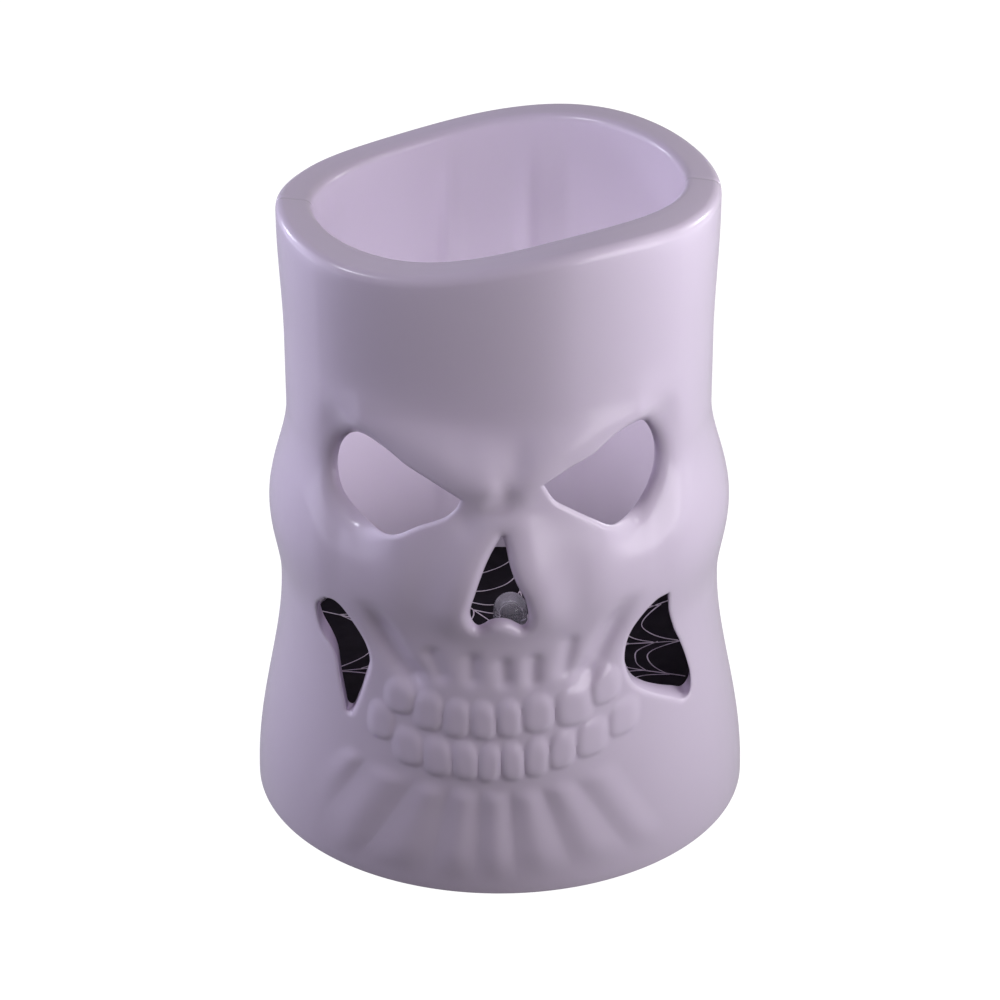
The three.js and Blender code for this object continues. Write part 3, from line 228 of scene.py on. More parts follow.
# Pits between the tooth roots, and valleys between the folds of the chin, each from its top to its foot
ROOT_PITS = [[(-9.3, 36.2), (-8.2, 33.4)], [(-3.9, 35.9), (-3.8, 33.2)], [(0.5, 35.2), (0.7, 32.9)],
             [(4.7, 35.4), (4.6, 32.7)], [(9.7, 37.4), (9, 33.4)]]
CHIN_LINES = [[(-22.5, 18.5), (-28, 12)], [(-18.8, 18.1), (-23.4, 10.8)], [(-13.3, 14.6), (-17.8, 7)],
              [(-7.5, 14.9), (-9.6, 4)], [(-2.9, 15.1), (-3.4, 3.5)], [(1.4, 15.2), (2.2, 3.5)],
              [(5.9, 15.5), (10, 3.5)], [(11.4, 15), (17.4, 5)], [(17, 16.7), (22.5, 7)]]
# Paths of the brows, of the mound and the furrow between them, and of the troughs and crests of the cheeks
BROWS = [[(-2, 61), (-8.4, 65.6), (-18.6, 69.2)], [(2.8, 62), (8.2, 65.9), (18.8, 69.2)]]
FURROW = [(2.8, 69), (2.4, 64.6), (0.9, 60.4), (-1.7, 57.8), (-4.3, 56.6)]
MOUND = [(-2.3, 67.2), (-1.3, 62.4)]
TROUGHS = [[(-17.8, 42.4), (-16.4, 39.6), (-14.9, 36.6), (-13.4, 34.2), (-12, 32.8)],
           [(17.5, 42.2), (15.9, 39.4), (14.6, 36.8), (13.3, 34), (12.2, 32.6)]]
CRESTS = [[(-17.1, 46), (-15.3, 42), (-13.5, 37.4), (-11.4, 33.8)],
          [(17, 45.6), (15.2, 42), (13.4, 37.6), (11.6, 33.6)]]
# Relief of the face: heights, reaches, and pairs of a place and a length for the smooth steps round it
BROW_RISE = 1.0
BROW_REACH = 3.4
BROW_POWER = 3
BROW_TOP = (70, 6)
FOREHEAD_SINK = 1.8
FOREHEAD_HALF = 24.5
FOREHEAD_FROM = (61, 10)
TEMPLE_SINK = 1.0
TEMPLE_MIDDLE = -7.5
TEMPLE_HALF = 18
MOUND_RISE = 0.35
MOUND_REACH = 2.4
FURROW_DEPTH = 0.5
FURROW_REACH = 1.9
ORBIT_DEPTH = 1.15
ORBIT_OUTER = (26.3, 5)
ORBIT_INNER = (20, 8)
ORBIT_FOOT = (36, 18)
ORBIT_TOP = (72, 6)
ORBIT_BROW_REACH = 3
SOCKET_DEPTH = 1.2
SOCKET_UNEVEN = 0.4
SOCKET_REACH = 6
SOCKET_POWER = 1.4
SOCKET_SIDE = (14, 6)
SOCKET_FOOT = (45, 7)
SOCKET_BROW_REACH = 2.2
BRIDGE_RISE = 0.75
BRIDGE_GAP = 2.6
BRIDGE_REACH = 3
BRIDGE_FOOT = (38, 6)
BRIDGE_TOP = (61, 5)
DIP_DEPTH = 0.45
DIP_SIDE = (10, 3.4)
DIP_LEVEL = (46, 6)
CREST_RISE = 0.3
CREST_REACH = 1.4
TROUGH_DEPTH = 1.6
TROUGH_REACH = 1.8
TROUGH_TOP = (44, 6)
MUZZLE_RISE = 1.1
MUZZLE_HALF = 16
MUZZLE_LEVEL = (26, 11)
MUZZLE_POWER = 4
PIT_DEPTH = 0.55
PIT_REACH = 1.15
FOLD_STEP_SHARE = 0.7
FOLD_OVERRUN = 0.4
FOLD_SKEW = 0.008
FOLD_TOP = (17, 2.6)
FOLD_TOP_CURVE = 0.006
FOLD_FOOT = (1, 6)
FOLD_SIDE = (28, 9)


def ease(value):
    """Smooth step: half of one minus the cosine of pi times the value held between 0 and 1."""
    return (1 - np.cos(np.pi * np.clip(value, 0, 1))) / 2


def bell(offset, reach):
    """Bell curve of height 1: e to the power of minus the squared offset in reaches."""
    return np.exp(-(offset / reach) ** 2)


def rising(value, span):
    """Smooth step from 0 at the span's place to 1 after its length."""
    place, length = span
    return ease((value - place) / length)


def falling(value, span):
    """Smooth step down to 0 at the span's place, from 1 a length before it."""
    place, length = span
    return ease((place - value) / length)


def station_radius(stations, z):
    """Radius at each height, eased from every station to the next one."""
    heights, radii = stations.T
    k = np.clip(np.searchsorted(heights, z, side="right") - 1, 0, len(heights) - 2)
    share = ease((z - heights[k]) / (heights[k + 1] - heights[k]))
    return radii[k] + (radii[k + 1] - radii[k]) * share


def outer_radius(z, angle):
    """Outside radius: the front stations, blended into the back ones behind the seams."""
    from_front = np.arccos(np.cos(angle))
    front = station_radius(FRONT_STATIONS, z)
    back = station_radius(BACK_STATIONS, z)
    return front + (back - front) * ease((from_front - np.pi / 2) / BACK_BLEND)


def rim_lifted(x, y, z):
    """Height after the rim's wave: a tilt and a sine across X, less a drop towards the back and the
    left, that fade out below the rim."""
    wave = RIM_WAVE * (1 - RIM_WAVE_SKEW * y / RIM_RADIUS) * np.sin(np.pi * x / RIM_RADIUS)
    drop = (RIM_BACK_DROP + RIM_LEFT_DROP * ease(-x / RIM_LEFT_REACH)) * rising(y, RIM_BACK_FROM)
    return z + rising(z, RIM_WAVE_FROM) * (RIM_TILT * x + wave - drop)


def rim_thickening(z, angle):
    """How far the inside of the front stands in below the rim: a cosine of the angle, eased in by height."""
    return RIM_FRONT_EXTRA * np.maximum(0, np.cos(angle)) * rising(z, RIM_FRONT_FROM)


def line_distance(x, h, start, end):
    """Distance to a straight line between two points, and how far along it the nearest place is."""
    along = np.subtract(end, start)
    share = np.clip(((x - start[0]) * along[0] + (h - start[1]) * along[1]) / (along @ along), 0, 1)
    return np.hypot(x - start[0] - share * along[0], h - start[1] - share * along[1]), share


def path_distance(x, h, path):
    """Distance to a path of straight lines."""
    return np.min([line_distance(x, h, a, b)[0] for a, b in zip(path[:-1], path[1:])], axis=0)


def smooth_outline(points):
    """Closed centripetal Catmull-Rom curve through points, anticlockwise, sharp at the first one."""
    knots = np.vstack([points, points[:1]])
    p1, p2 = knots[:-1], knots[1:]
    p0 = np.vstack([2 * knots[0] - knots[1], knots[:-2]])
    p3 = np.vstack([knots[2:], 2 * knots[-1] - knots[-2]])
    d0, d1, d2 = (np.linalg.norm(b - a, axis=1)[:, None] ** 0.5 for a, b in ((p0, p1), (p1, p2), (p2, p3)))
    m1 = ((p1 - p0) / d0 - (p2 - p0) / (d0 + d1) + (p2 - p1) / d1) * d1
    m2 = ((p2 - p1) / d1 - (p3 - p1) / (d1 + d2) + (p3 - p2) / d2) * d1
    t = (np.arange(CURVE_STEPS) / CURVE_STEPS)[None, :, None]
    p1, p2, m1, m2 = (part[:, None, :] for part in (p1, p2, m1, m2))
    curve = ((2 * t ** 3 - 3 * t ** 2 + 1) * p1 + (t ** 3 - 2 * t ** 2 + t) * m1
             + (3 * t ** 2 - 2 * t ** 3) * p2 + (t ** 3 - t ** 2) * m2).reshape(-1, 2)
    ahead = np.roll(curve, -1, axis=0)
    area = np.sum(curve[:, 0] * ahead[:, 1] - ahead[:, 0] * curve[:, 1])
    return curve if area > 0 else np.roll(curve[::-1], 1, axis=0)


def outline_field(x, h, curve):
    """Signed distance to a closed curve, negative inside, and the place along it that is nearest."""
    best = np.full(x.shape, np.inf)
    spot = np.zeros(x.shape)
    inside = np.zeros(x.shape, bool)
    for k, (start, end) in enumerate(zip(curve, np.roll(curve, -1, axis=0))):
        distance, share = line_distance(x, h, start, end)
        nearer = distance < best
        best = np.where(nearer, distance, best)
        spot = np.where(nearer, k + share, spot)
        if start[1] != end[1]:
            crossing = start[0] + (end[0] - start[0]) * (h - start[1]) / (end[1] - start[1])
            inside ^= ((start[1] > h) != (end[1] > h)) & (x < crossing)
    return np.where(inside, -best, best), spot % len(curve)


OUTLINES = [smooth_outline(points) for points in (LEFT_EYE, RIGHT_EYE, NOSE, LEFT_CHEEK, RIGHT_CHEEK)]


def outline_gap(x, h, outlines):
    """Distance outwards from the nearest of some openings, and 0 inside them."""
    gap = np.full(x.shape, FAR)
    for outline in outlines:
        low, high = outline.min(axis=0) - GAP_MARGIN, outline.max(axis=0) + GAP_MARGIN
        near = (x > low[0]) & (x < high[0]) & (h > low[1]) & (h < high[1])
        distance, _ = outline_field(x[near], h[near], outline)
        gap[near] = np.minimum(gap[near], np.maximum(0, distance))
    return gap


def pillows(x, h, forms, gum):
    """Height of a row of rounded oblongs that meet their neighbours: a smooth step of 1 less a power of the
    offset across and less a power of the offset up, in the gum's share, or down."""
    rise = np.zeros(x.shape)
    across_power, up_power, down_power = TOOTH_POWERS
    for middle, level, half_width, half_height in forms:
        lean = TOOTH_LEAN * math.sin(TOOTH_LEAN_TURN * middle)
        across = np.abs(x - middle - lean * (h - level)) / (TOOTH_OVERLAP * half_width)
        up = (h - level) / half_height
        fall = np.where(up > 0, (up / gum) ** up_power, up ** down_power)
        rise = np.maximum(rise, ease(1 - across ** across_power - fall))
    return rise


def ribs(x, h, lines):
    """Rounded ribs between neighbouring lines: each falls from its middle to its lines, mostly as a
    smooth step and for the rest as a square."""
    rise = np.zeros(x.shape)
    edges = []
    for top, foot in lines:
        along = np.clip((top[1] - h) / (top[1] - foot[1]), -FOLD_OVERRUN, 1 + FOLD_OVERRUN)
        edges.append(top[0] + (foot[0] - top[0]) * along)
    for left, right in zip(edges[:-1], edges[1:]):
        across = np.minimum(1, np.abs(2 * (x - left) / (right - left) - 1))
        fall = FOLD_STEP_SHARE * ease(across) + (1 - FOLD_STEP_SHARE) * across ** 2
        rise = np.maximum(rise, 1 - fall)
    return rise


def grooves(x, h, paths, reach):
    """Depth of 1 along some paths, falling off beside them as a bell."""
    return np.max([bell(path_distance(x, h, path), reach) for path in paths], axis=0)


def upper_face(x, h, eye_gap):
    """Brows, forehead and eye sockets: bells round paths, a parabola across the forehead with the square of
    one on its left, and steps and a power of the gap to an eye for the sockets."""
    u = np.abs(x)
    brow_gaps = [path_distance(x, h, brow) for brow in BROWS]
    brow_gap = np.minimum(*brow_gaps)
    brow_bells = [bell(gap, BROW_REACH) ** BROW_POWER for gap in brow_gaps]
    brow = BROW_RISE * sum(brow_bells) ** (1 / BROW_POWER)
    forehead = FOREHEAD_SINK * np.maximum(0, 1 - (u / FOREHEAD_HALF) ** 2)
    temple = TEMPLE_SINK * np.maximum(0, 1 - ((x - TEMPLE_MIDDLE) / TEMPLE_HALF) ** 2) ** 2
    sunk = (forehead + temple) * rising(h, FOREHEAD_FROM)
    above = falling(h, BROW_TOP)
    mound = MOUND_RISE * bell(path_distance(x, h, MOUND), MOUND_REACH) * above
    furrow = FURROW_DEPTH * bell(path_distance(x, h, FURROW), FURROW_REACH) * above
    beside = falling(u, ORBIT_OUTER) * (1 - falling(u, ORBIT_INNER))
    orbit = ORBIT_DEPTH * beside * rising(h, ORBIT_FOOT) * falling(h, ORBIT_TOP)
    orbit = orbit * (1 - bell(brow_gap, ORBIT_BROW_REACH))
    ring = np.maximum(0, 1 - eye_gap / SOCKET_REACH) ** SOCKET_POWER
    ring = ring * rising(u, SOCKET_SIDE) * rising(h, SOCKET_FOOT)
    socket = (SOCKET_DEPTH + SOCKET_UNEVEN * np.sign(x)) * ring * (1 - bell(brow_gap, SOCKET_BROW_REACH))
    return brow - sunk + mound - furrow - orbit - socket


def middle_face(x, h, nose_gap):
    """Nose and cheeks: a bell round the nose, a dip beside it and a trough with a crest down each cheek."""
    side, side_reach = DIP_SIDE
    level, level_reach = DIP_LEVEL
    bridge = BRIDGE_RISE * bell(nose_gap - BRIDGE_GAP, BRIDGE_REACH)
    bridge = bridge * rising(h, BRIDGE_FOOT) * falling(h, BRIDGE_TOP)
    dip = DIP_DEPTH * bell(np.abs(x) - side, side_reach) * bell(h - level, level_reach)
    crests = CREST_RISE * grooves(x, h, CRESTS, CREST_REACH)
    troughs = TROUGH_DEPTH * grooves(x, h, TROUGHS, TROUGH_REACH)
    return bridge - dip + (crests - troughs) * falling(h, TROUGH_TOP)


def lower_face(x, h, tooth_rise, chin_depth):
    """Muzzle, tooth roots, teeth and chin: a broad swell, pits between the roots, pillows for the teeth and
    ribs for the folds of the chin."""
    u = np.abs(x)
    level, reach = MUZZLE_LEVEL
    muzzle = MUZZLE_RISE * np.exp(-(u / MUZZLE_HALF) ** MUZZLE_POWER - ((h - level) / reach) ** MUZZLE_POWER)
    pits = PIT_DEPTH * grooves(x, h, ROOT_PITS, PIT_REACH)
    teeth = np.maximum(pillows(x, h, UPPER_TEETH, UPPER_GUM), pillows(x, h, LOWER_TEETH, LOWER_GUM))
    bounds = falling(h - FOLD_TOP_CURVE * x ** 2, FOLD_TOP) * rising(h, FOLD_FOOT) * falling(u, FOLD_SIDE)
    folds = chin_depth * (1 - FOLD_SKEW * x) * ribs(x, h, CHIN_LINES) * bounds
    return muzzle + tooth_rise * teeth - pits + folds


def face_relief(x, z, sizes):
    """How far the face stands out towards -Y, fading to nothing at the seams and the foot."""
    h = z - FACE_TILT * x
    radius = station_radius(FRONT_STATIONS, z)
    angle = np.arcsin(np.clip(x / radius, -1, 1))
    eye_gap = outline_gap(x, h, OUTLINES[:2])
    nose_gap = outline_gap(x, h, OUTLINES[2:3])
    rise = (upper_face(x, h, eye_gap) + middle_face(x, h, nose_gap)
            + lower_face(x, h, sizes.tooth_rise / MM, sizes.chin_depth / MM))
    return rise * falling(np.abs(angle), SEAM_FADE) * rising(z, FOOT_FADE)


def front_outside(x, z, sizes):
    """Outside of the face: the round body at each X and height, with the relief on it."""
    radius = station_radius(FRONT_STATIONS, z)
    y = -np.sqrt(np.maximum(0, radius ** 2 - x ** 2))
    return np.column_stack([x, y - face_relief(x, z, sizes), rim_lifted(x, y, z)])


def front_inside(x, z):
    """Inside of the face: the round bore at each X and height, standing in below the rim."""
    radius = station_radius(INNER_STATIONS, z)
    y = -np.sqrt(np.maximum(0, radius ** 2 - x ** 2))
    inset = rim_thickening(z, np.arcsin(np.clip(x / radius, -1, 1)))
    return np.column_stack([x, y + inset, rim_lifted(x, y, z)])


def steps(*marks):
    """Values from mark to mark: pairs of a value and the step that leads to the next one."""
    runs = []
    for (low, step), (high, _) in zip(marks[:-1], marks[1:]):
        count = math.ceil((high - low) / step - COUNT_SLACK)
        runs.append(low + (high - low) * np.arange(count) / count)
    return np.concatenate(runs + [[marks[-1][0]]])


def grid_faces(rows, columns):
    """Squares of a grid of rows, each a pair of triangles, as corner numbers."""
    k, c = np.meshgrid(np.arange(rows - 1), np.arange(columns - 1), indexing="ij")
    a = (k * columns + c).ravel()
    b, d, e = a + 1, a + columns, a + columns + 1
    return np.concatenate([np.column_stack([a, b, e]), np.column_stack([a, e, d])])


def edge_rounds(outline, size, outer):
    """Round at each point of an opening's edge: one size near the middle of the face, eased to another
    one towards its sides."""
    return size + (outer - size) * rising(np.abs(outline[:, 0]), EDGE_SIDES)


def grown_outline(outline, rounds):
    """Outline, its outward normals, its rounds, and the outline moved out along the normals by the rounds,
    each with a fan of several at the sharp corner."""
    ahead = np.roll(outline, -1, axis=0) - outline
    ahead /= np.linalg.norm(ahead, axis=1)[:, None]
    before = np.roll(ahead, 1, axis=0)
    tangent = ahead + before
    tangent /= np.linalg.norm(tangent, axis=1)[:, None]
    normal = np.column_stack([tangent[:, 1], -tangent[:, 0]])
    first = math.atan2(-before[0, 0], before[0, 1])
    turn = (math.atan2(-ahead[0, 0], ahead[0, 1]) - first) % (2 * math.pi)
    fan = first + turn * np.linspace(0, 1, FAN_COUNT)
    base = np.vstack([np.repeat(outline[:1], FAN_COUNT, axis=0), outline[1:]])
    normal = np.vstack([np.column_stack([np.cos(fan), np.sin(fan)]), normal[1:]])
    rounds = np.concatenate([np.repeat(rounds[:1], FAN_COUNT), rounds[1:]])
    return base, normal, rounds, base + normal * rounds[:, None]


def ring_order(spots, period):
    """Bounds between neighbouring spots of a ring, for finding the spot nearest to a place."""
    spread = np.concatenate([spots[-1:] - period, spots, spots[:1] + period])
    return (spread[1:] + spread[:-1]) / 2


def zip_rings(first, first_spots, second, second_spots, period):
    """Triangles between two closed rings of different counts, matched by their spots."""
    first_bounds = ring_order(first_spots, period)
    second_bounds = ring_order(second_spots, period)
    near_second = (np.searchsorted(second_bounds, first_bounds[1:]) - 1) % len(second)
    near_first = (np.searchsorted(first_bounds, second_bounds[1:], side="right") - 1) % len(first)
    return np.concatenate([np.column_stack([first, np.roll(first, -1), second[near_second]]),
                           np.column_stack([np.roll(second, -1), second, first[near_first]])])


def zip_rows(first, first_spots, second, second_spots):
    """Triangles between two open rows of different counts, matched by their spots."""
    first_bounds = (first_spots[1:] + first_spots[:-1]) / 2
    second_bounds = (second_spots[1:] + second_spots[:-1]) / 2
    near_second = second[np.searchsorted(second_bounds, first_bounds)]
    near_first = first[np.searchsorted(first_bounds, second_bounds, side="right")]
    return np.concatenate([np.column_stack([first[:-1], first[1:], near_second]),
                           np.column_stack([second[1:], second[:-1], near_first])])


def boundary_walk(triangles, edge, spots):
    """Vertices of an opening in walking order, from the smallest spot and towards larger ones: each
    free edge points to the next vertex, and the walk doubles until it is whole."""
    starts = triangles.ravel()
    ends = np.roll(triangles, -1, axis=1).ravel()
    keys = np.minimum(starts, ends) * len(edge) + np.maximum(starts, ends)
    _, places, counts = np.unique(keys, return_index=True, return_counts=True)
    free = places[counts == 1]
    free = free[edge[starts[free]] & edge[ends[free]]]
    jump = np.arange(len(edge))
    jump[starts[free]] = ends[free]
    loop = np.flatnonzero(edge)
    walk = loop[[np.argmin(spots[loop])]]
    while len(walk) < len(loop):
        walk = np.concatenate([walk, jump[walk]])
        jump = jump[jump]
    walk = walk[:len(loop)]
    if len(free) != len(loop) or len(np.unique(walk)) != len(loop):
        raise RuntimeError("an opening of the face did not close into one ring")
    if np.median(np.diff(spots[walk])) < 0:
        walk = np.roll(walk[::-1], 1)
    return walk


def pierce(x, h, triangles, curve, reach):
    """Opens a net of triangles along a closed curve: vertices near it move onto it, and the
    triangles inside it go. Gives the net, and the opening's vertices in order with their spots along
    the curve, evened out."""
    low, high = curve.min(axis=0) - SNAP_MARGIN, curve.max(axis=0) + SNAP_MARGIN
    local = np.flatnonzero((x > low[0]) & (x < high[0]) & (h > low[1]) & (h < high[1]))
    signed = np.full(x.shape, FAR)
    spots = np.zeros(x.shape)
    signed[local], spots[local] = outline_field(x[local], h[local], curve)
    closed = np.vstack([curve, curve[:1]])
    places = np.arange(len(closed))

    def settle(chosen):
        x[chosen] = np.interp(spots[chosen], places, closed[:, 0])
        h[chosen] = np.interp(spots[chosen], places, closed[:, 1])
        signed[chosen] = 0

    settle(np.abs(signed) < reach)
    for _ in range(SNAP_PASSES):
        corners = signed[triangles]
        keep = (corners.mean(axis=1) > 0) & ~np.all(corners == 0, axis=1)
        on_kept = np.zeros(x.shape, bool)
        on_gone = np.zeros(x.shape, bool)
        on_kept[triangles[keep]] = True
        on_gone[triangles[~keep]] = True
        edge = on_kept & on_gone
        if np.all(signed[edge] == 0):
            break
        settle(edge & (signed != 0))
    triangles = triangles[keep]
    walk = boundary_walk(triangles, edge, spots)
    values = np.sort(spots[walk])
    for _ in range(EVEN_PASSES):
        spread = np.concatenate([values[-1:] - len(curve), values, values[:1] + len(curve)])
        values = values / 2 + (spread[:-2] + spread[2:]) / 4
    spots[walk] = values % len(curve)
    settle(walk)
    return triangles, walk, values


def welded(points, faces):
    """Points that lie on each other become one, and triangles without an area go."""
    _, kept, index = np.unique(np.round(points / WELD), axis=0, return_index=True, return_inverse=True)
    corners = index.reshape(-1)[faces]
    whole = np.all(corners != np.roll(corners, 1, axis=1), axis=1)
    return points[kept], corners[whole]


def new_mesh(name, points, faces):
    """Mesh of points in millimetres and faces of equal corner count."""
    mesh = bpy.data.meshes.new(name)
    mesh.vertices.add(len(points))
    mesh.vertices.foreach_set("co", np.ascontiguousarray(points * MM, dtype=np.float32).ravel())
    corners = np.ascontiguousarray(faces, dtype=np.int32)
    mesh.loops.add(corners.size)
    mesh.loops.foreach_set("vertex_index", corners.ravel())
    mesh.polygons.add(len(corners))
    mesh.polygons.foreach_set("loop_start", np.arange(len(corners), dtype=np.int32) * corners.shape[1])
    mesh.update(calc_edges=True)
    if mesh.validate():
        raise RuntimeError(name + " has broken faces")
    mesh.shade_smooth()
    return mesh


def add_piece(name, points, faces, material, body, sharp):
    """Object of one mesh at the origin, shaded smooth up to an angle, that rides on a body."""
    mesh = new_mesh(name, points, faces)
    mesh.set_sharp_from_angle(angle=math.radians(sharp))
    mesh.materials.append(material)
    piece = bpy.data.objects.new(name, mesh)
    bpy.context.scene.collection.objects.link(piece)
    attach(piece, body)
    return piece


def rim_rows(angles, relief_top):
    """Rows over the rim: a quarter round outside, a level part and a smaller round into the bore."""
    sine, minus_cosine = np.sin(angles), -np.cos(angles)
    level = np.full(angles.shape, HEIGHT)
    top = outer_radius(level, angles)
    rounds = RIM_ROUND[0] + (RIM_ROUND[1] - RIM_ROUND[0]) * ease((1 - minus_cosine) / 2)
    bore = INNER_STATIONS[-1, 1]
    inset = rim_thickening(level, angles)
    rows = []
    for turn in np.linspace(0, np.pi / 2, RIM_TURNS):
        radius = top - rounds * (1 - math.cos(turn))
        rows.append((radius, HEIGHT - rounds * (1 - math.sin(turn)), relief_top))
    for share in RIM_FLATS:
        radius = (top - rounds) * (1 - share) + (bore + RIM_INNER_ROUND) * share
        rows.append((radius, level, relief_top * (1 - share) - inset * share))
    for turn in np.linspace(0, np.pi / 2, RIM_INNER_TURNS)[:-1]:
        radius = bore + RIM_INNER_ROUND * (1 - math.sin(turn))
        rows.append((radius, level - RIM_INNER_ROUND * (1 - math.cos(turn)), -inset))
    points = []
    for radius, z, out in rows:
        x, y = radius * sine, radius * minus_cosine
        points.append(np.column_stack([x, y - out, rim_lifted(x, y, z)]))
    return points


def sink_seam(ends, outer_count, rim_count):
    """Brings an end column of a half shell onto the seam plane, sunk by a groove outside and on the rim."""
    ends[:, 1] = 0
    ends[:outer_count + rim_count // 2, 0] *= 1 - SEAM_GROOVE / RIM_RADIUS
    ends[outer_count:outer_count + rim_count, 2] -= SEAM_GROOVE


def end_cap(column, outer_rows, rim_count, inner_rows, columns, points, flip):
    """Flat end of a half shell on the seam plane, between its outside and its inside."""
    half = rim_count // 2
    first = np.arange(outer_rows + half) * columns + column
    second = np.arange(outer_rows + rim_count + inner_rows - 1, outer_rows + half - 1, -1) * columns + column
    spread = np.maximum.accumulate(points[first, 2] + ORDER_STEP * np.arange(len(first)))
    inner = np.maximum.accumulate(points[second, 2] + ORDER_STEP * np.arange(len(second)))
    triangles = zip_rows(first, spread, second, inner)
    return triangles[:, ::-1] if flip else triangles


def close_seams(points, columns, outer_rows, rim_count, inner_rows):
    """Sinks both end columns of a half shell onto the seam plane, and gives the flat ends there."""
    caps = []
    for column, flip in ((0, False), (columns - 1, True)):
        sink_seam(points[column::columns], outer_rows, rim_count)
        caps.append(end_cap(column, outer_rows, rim_count, inner_rows, columns, points, flip))
    return caps


def foot_faces(low, high):
    """Level foot between the lowest row of the outside and that of the inside."""
    return np.concatenate([np.column_stack([high[:-1], high[1:], low[1:]]),
                           np.column_stack([high[:-1], low[1:], low[:-1]])])


def ring_places(base, normal, rounds, spots, turn):
    """Places round an opening after a turn of its rounded edge, and how deep they lie below the surface."""
    out = base + normal * rounds[:, None] * (1 - math.sin(turn))
    places = np.arange(len(base) + 1)
    x, h, size = (np.interp(spots, places, np.append(values, values[0])) for values in (*out.T, rounds))
    return x, h, size * (1 - math.cos(turn))


def edge_rings(edge, spots, loop, start, count, surface, inwards):
    """Rings of a rounded edge from an opening in a surface to its wall: the places of the new rings, and the
    vertex numbers of every ring with the opening's own first."""
    places = []
    rings = [loop]
    for turn in np.linspace(0, np.pi / 2, count)[1:]:
        x, h, depth = ring_places(*edge, spots, turn)
        ring = surface(x, h + FACE_TILT * x)
        ring[:, 1] += inwards * depth
        rings.append(np.arange(len(ring)) + start + len(ring) * len(places))
        places.append(ring)
    return np.vstack(places), rings


def ring_bands(rings):
    """Bands of triangles from each closed ring to the next one of the same count."""
    bands = []
    for first, second in zip(rings[:-1], rings[1:]):
        ahead, behind = np.roll(first, -1), np.roll(second, -1)
        bands.append(np.column_stack([first, ahead, behind]))
        bands.append(np.column_stack([first, behind, second]))
    return bands


def face_openings(sizes, outer_net, inner_net):
    """Pierces the outer and the inner net by the five openings, and gives both nets' triangles and, for each
    opening, its edges and its vertices in order."""
    outer_x, outer_h, outer_faces = outer_net
    inner_x, inner_h, inner_faces = inner_net
    rounds = [(sizes.eye_round, sizes.eye_outer)] * 2 + [(sizes.nose_round, sizes.nose_round)]
    rounds += [(sizes.cheek_round, sizes.cheek_round)] * 2
    openings = []
    for outline, (size, outer), (keep, growth) in zip(OUTLINES, rounds, FLARES):
        *outer_edge, outer_curve = grown_outline(outline, edge_rounds(outline, size / MM, outer / MM))
        flared = keep + (outline - keep) * growth
        *inner_edge, inner_curve = grown_outline(flared, np.full(len(flared), sizes.inner_round / MM))
        outer_faces, *outer_ring = pierce(outer_x, outer_h, outer_faces, outer_curve, OUTER_SNAP)
        inner_faces, *inner_ring = pierce(inner_x, inner_h, inner_faces, inner_curve, INNER_SNAP)
        openings.append((outer_edge, outer_ring, inner_edge, inner_ring))
    return outer_faces, inner_faces, openings


def front_shell_mesh(sizes):
    """Front half: a closed skin of outside, rim and inside, pierced by the five openings. Each
    opening runs from the outside through a quarter round, a flared wall and a round inside."""
    side = steps(*FACE_SIDE_NET)
    middle = steps(*FACE_MIDDLE_NET)[1:-1]
    angles = np.concatenate([[-np.pi / 2], -side[::-1], middle, side, [np.pi / 2]])
    outer_z = steps(*FACE_HEIGHT_NET)
    inner_z = steps(*FACE_BORE_NET)[::-1]
    columns = len(angles)
    outer_x = (station_radius(FRONT_STATIONS, outer_z)[:, None] * np.sin(angles)).ravel()
    inner_x = (station_radius(INNER_STATIONS, inner_z)[:, None] * np.sin(angles)).ravel()
    outer_h = np.repeat(outer_z, columns) - FACE_TILT * outer_x
    inner_h = np.repeat(inner_z, columns) - FACE_TILT * inner_x
    outer_net = (outer_x, outer_h, grid_faces(len(outer_z), columns))
    inner_net = (inner_x, inner_h, grid_faces(len(inner_z), columns))
    outer_faces, inner_faces, openings = face_openings(sizes, outer_net, inner_net)

    def outer_surface(x, z):
        return front_outside(x, z, sizes)

    outside = outer_surface(outer_x, outer_h + FACE_TILT * outer_x)
    inside = front_inside(inner_x, inner_h + FACE_TILT * inner_x)
    level = np.full(columns, HEIGHT)
    rim = rim_rows(angles, face_relief(outer_radius(level, angles) * np.sin(angles), level, sizes))
    points = np.vstack([outside, *rim, inside])
    inner_start = len(outside) + len(rim) * columns
    rim_faces = grid_faces(len(rim) + 2, columns) + len(outside) - columns
    lowest = np.arange(columns)
    foot = foot_faces(lowest, lowest + len(points) - columns)
    faces = [outer_faces, rim_faces, inner_faces + inner_start, foot]
    faces += close_seams(points, columns, len(outer_z), len(rim), len(inner_z))
    for outer_edge, (outer_loop, outer_spots), inner_edge, (inner_loop, inner_spots) in openings:
        places, rings = edge_rings(outer_edge, outer_spots, outer_loop, len(points), OUTER_RINGS,
                                   outer_surface, 1)
        points = np.vstack([points, places])
        inner_loop = inner_loop + inner_start
        places, inner_rings = edge_rings(inner_edge, inner_spots, inner_loop, len(points), INNER_RINGS,
                                         front_inside, -1)
        points = np.vstack([points, places])
        faces += ring_bands(rings) + ring_bands(inner_rings[::-1])
        faces.append(zip_rings(rings[-1], outer_spots, inner_rings[-1], inner_spots, len(outer_edge[0])))
    return welded(points, np.concatenate(faces))


def round_row(radius, z, angles):
    """Row of a round wall: a radius carried round the axis at one height, lifted by the rim's wave."""
    x, y = radius * np.sin(angles), -radius * np.cos(angles)
    return np.column_stack([x, y, rim_lifted(x, y, np.full(angles.shape, z))])


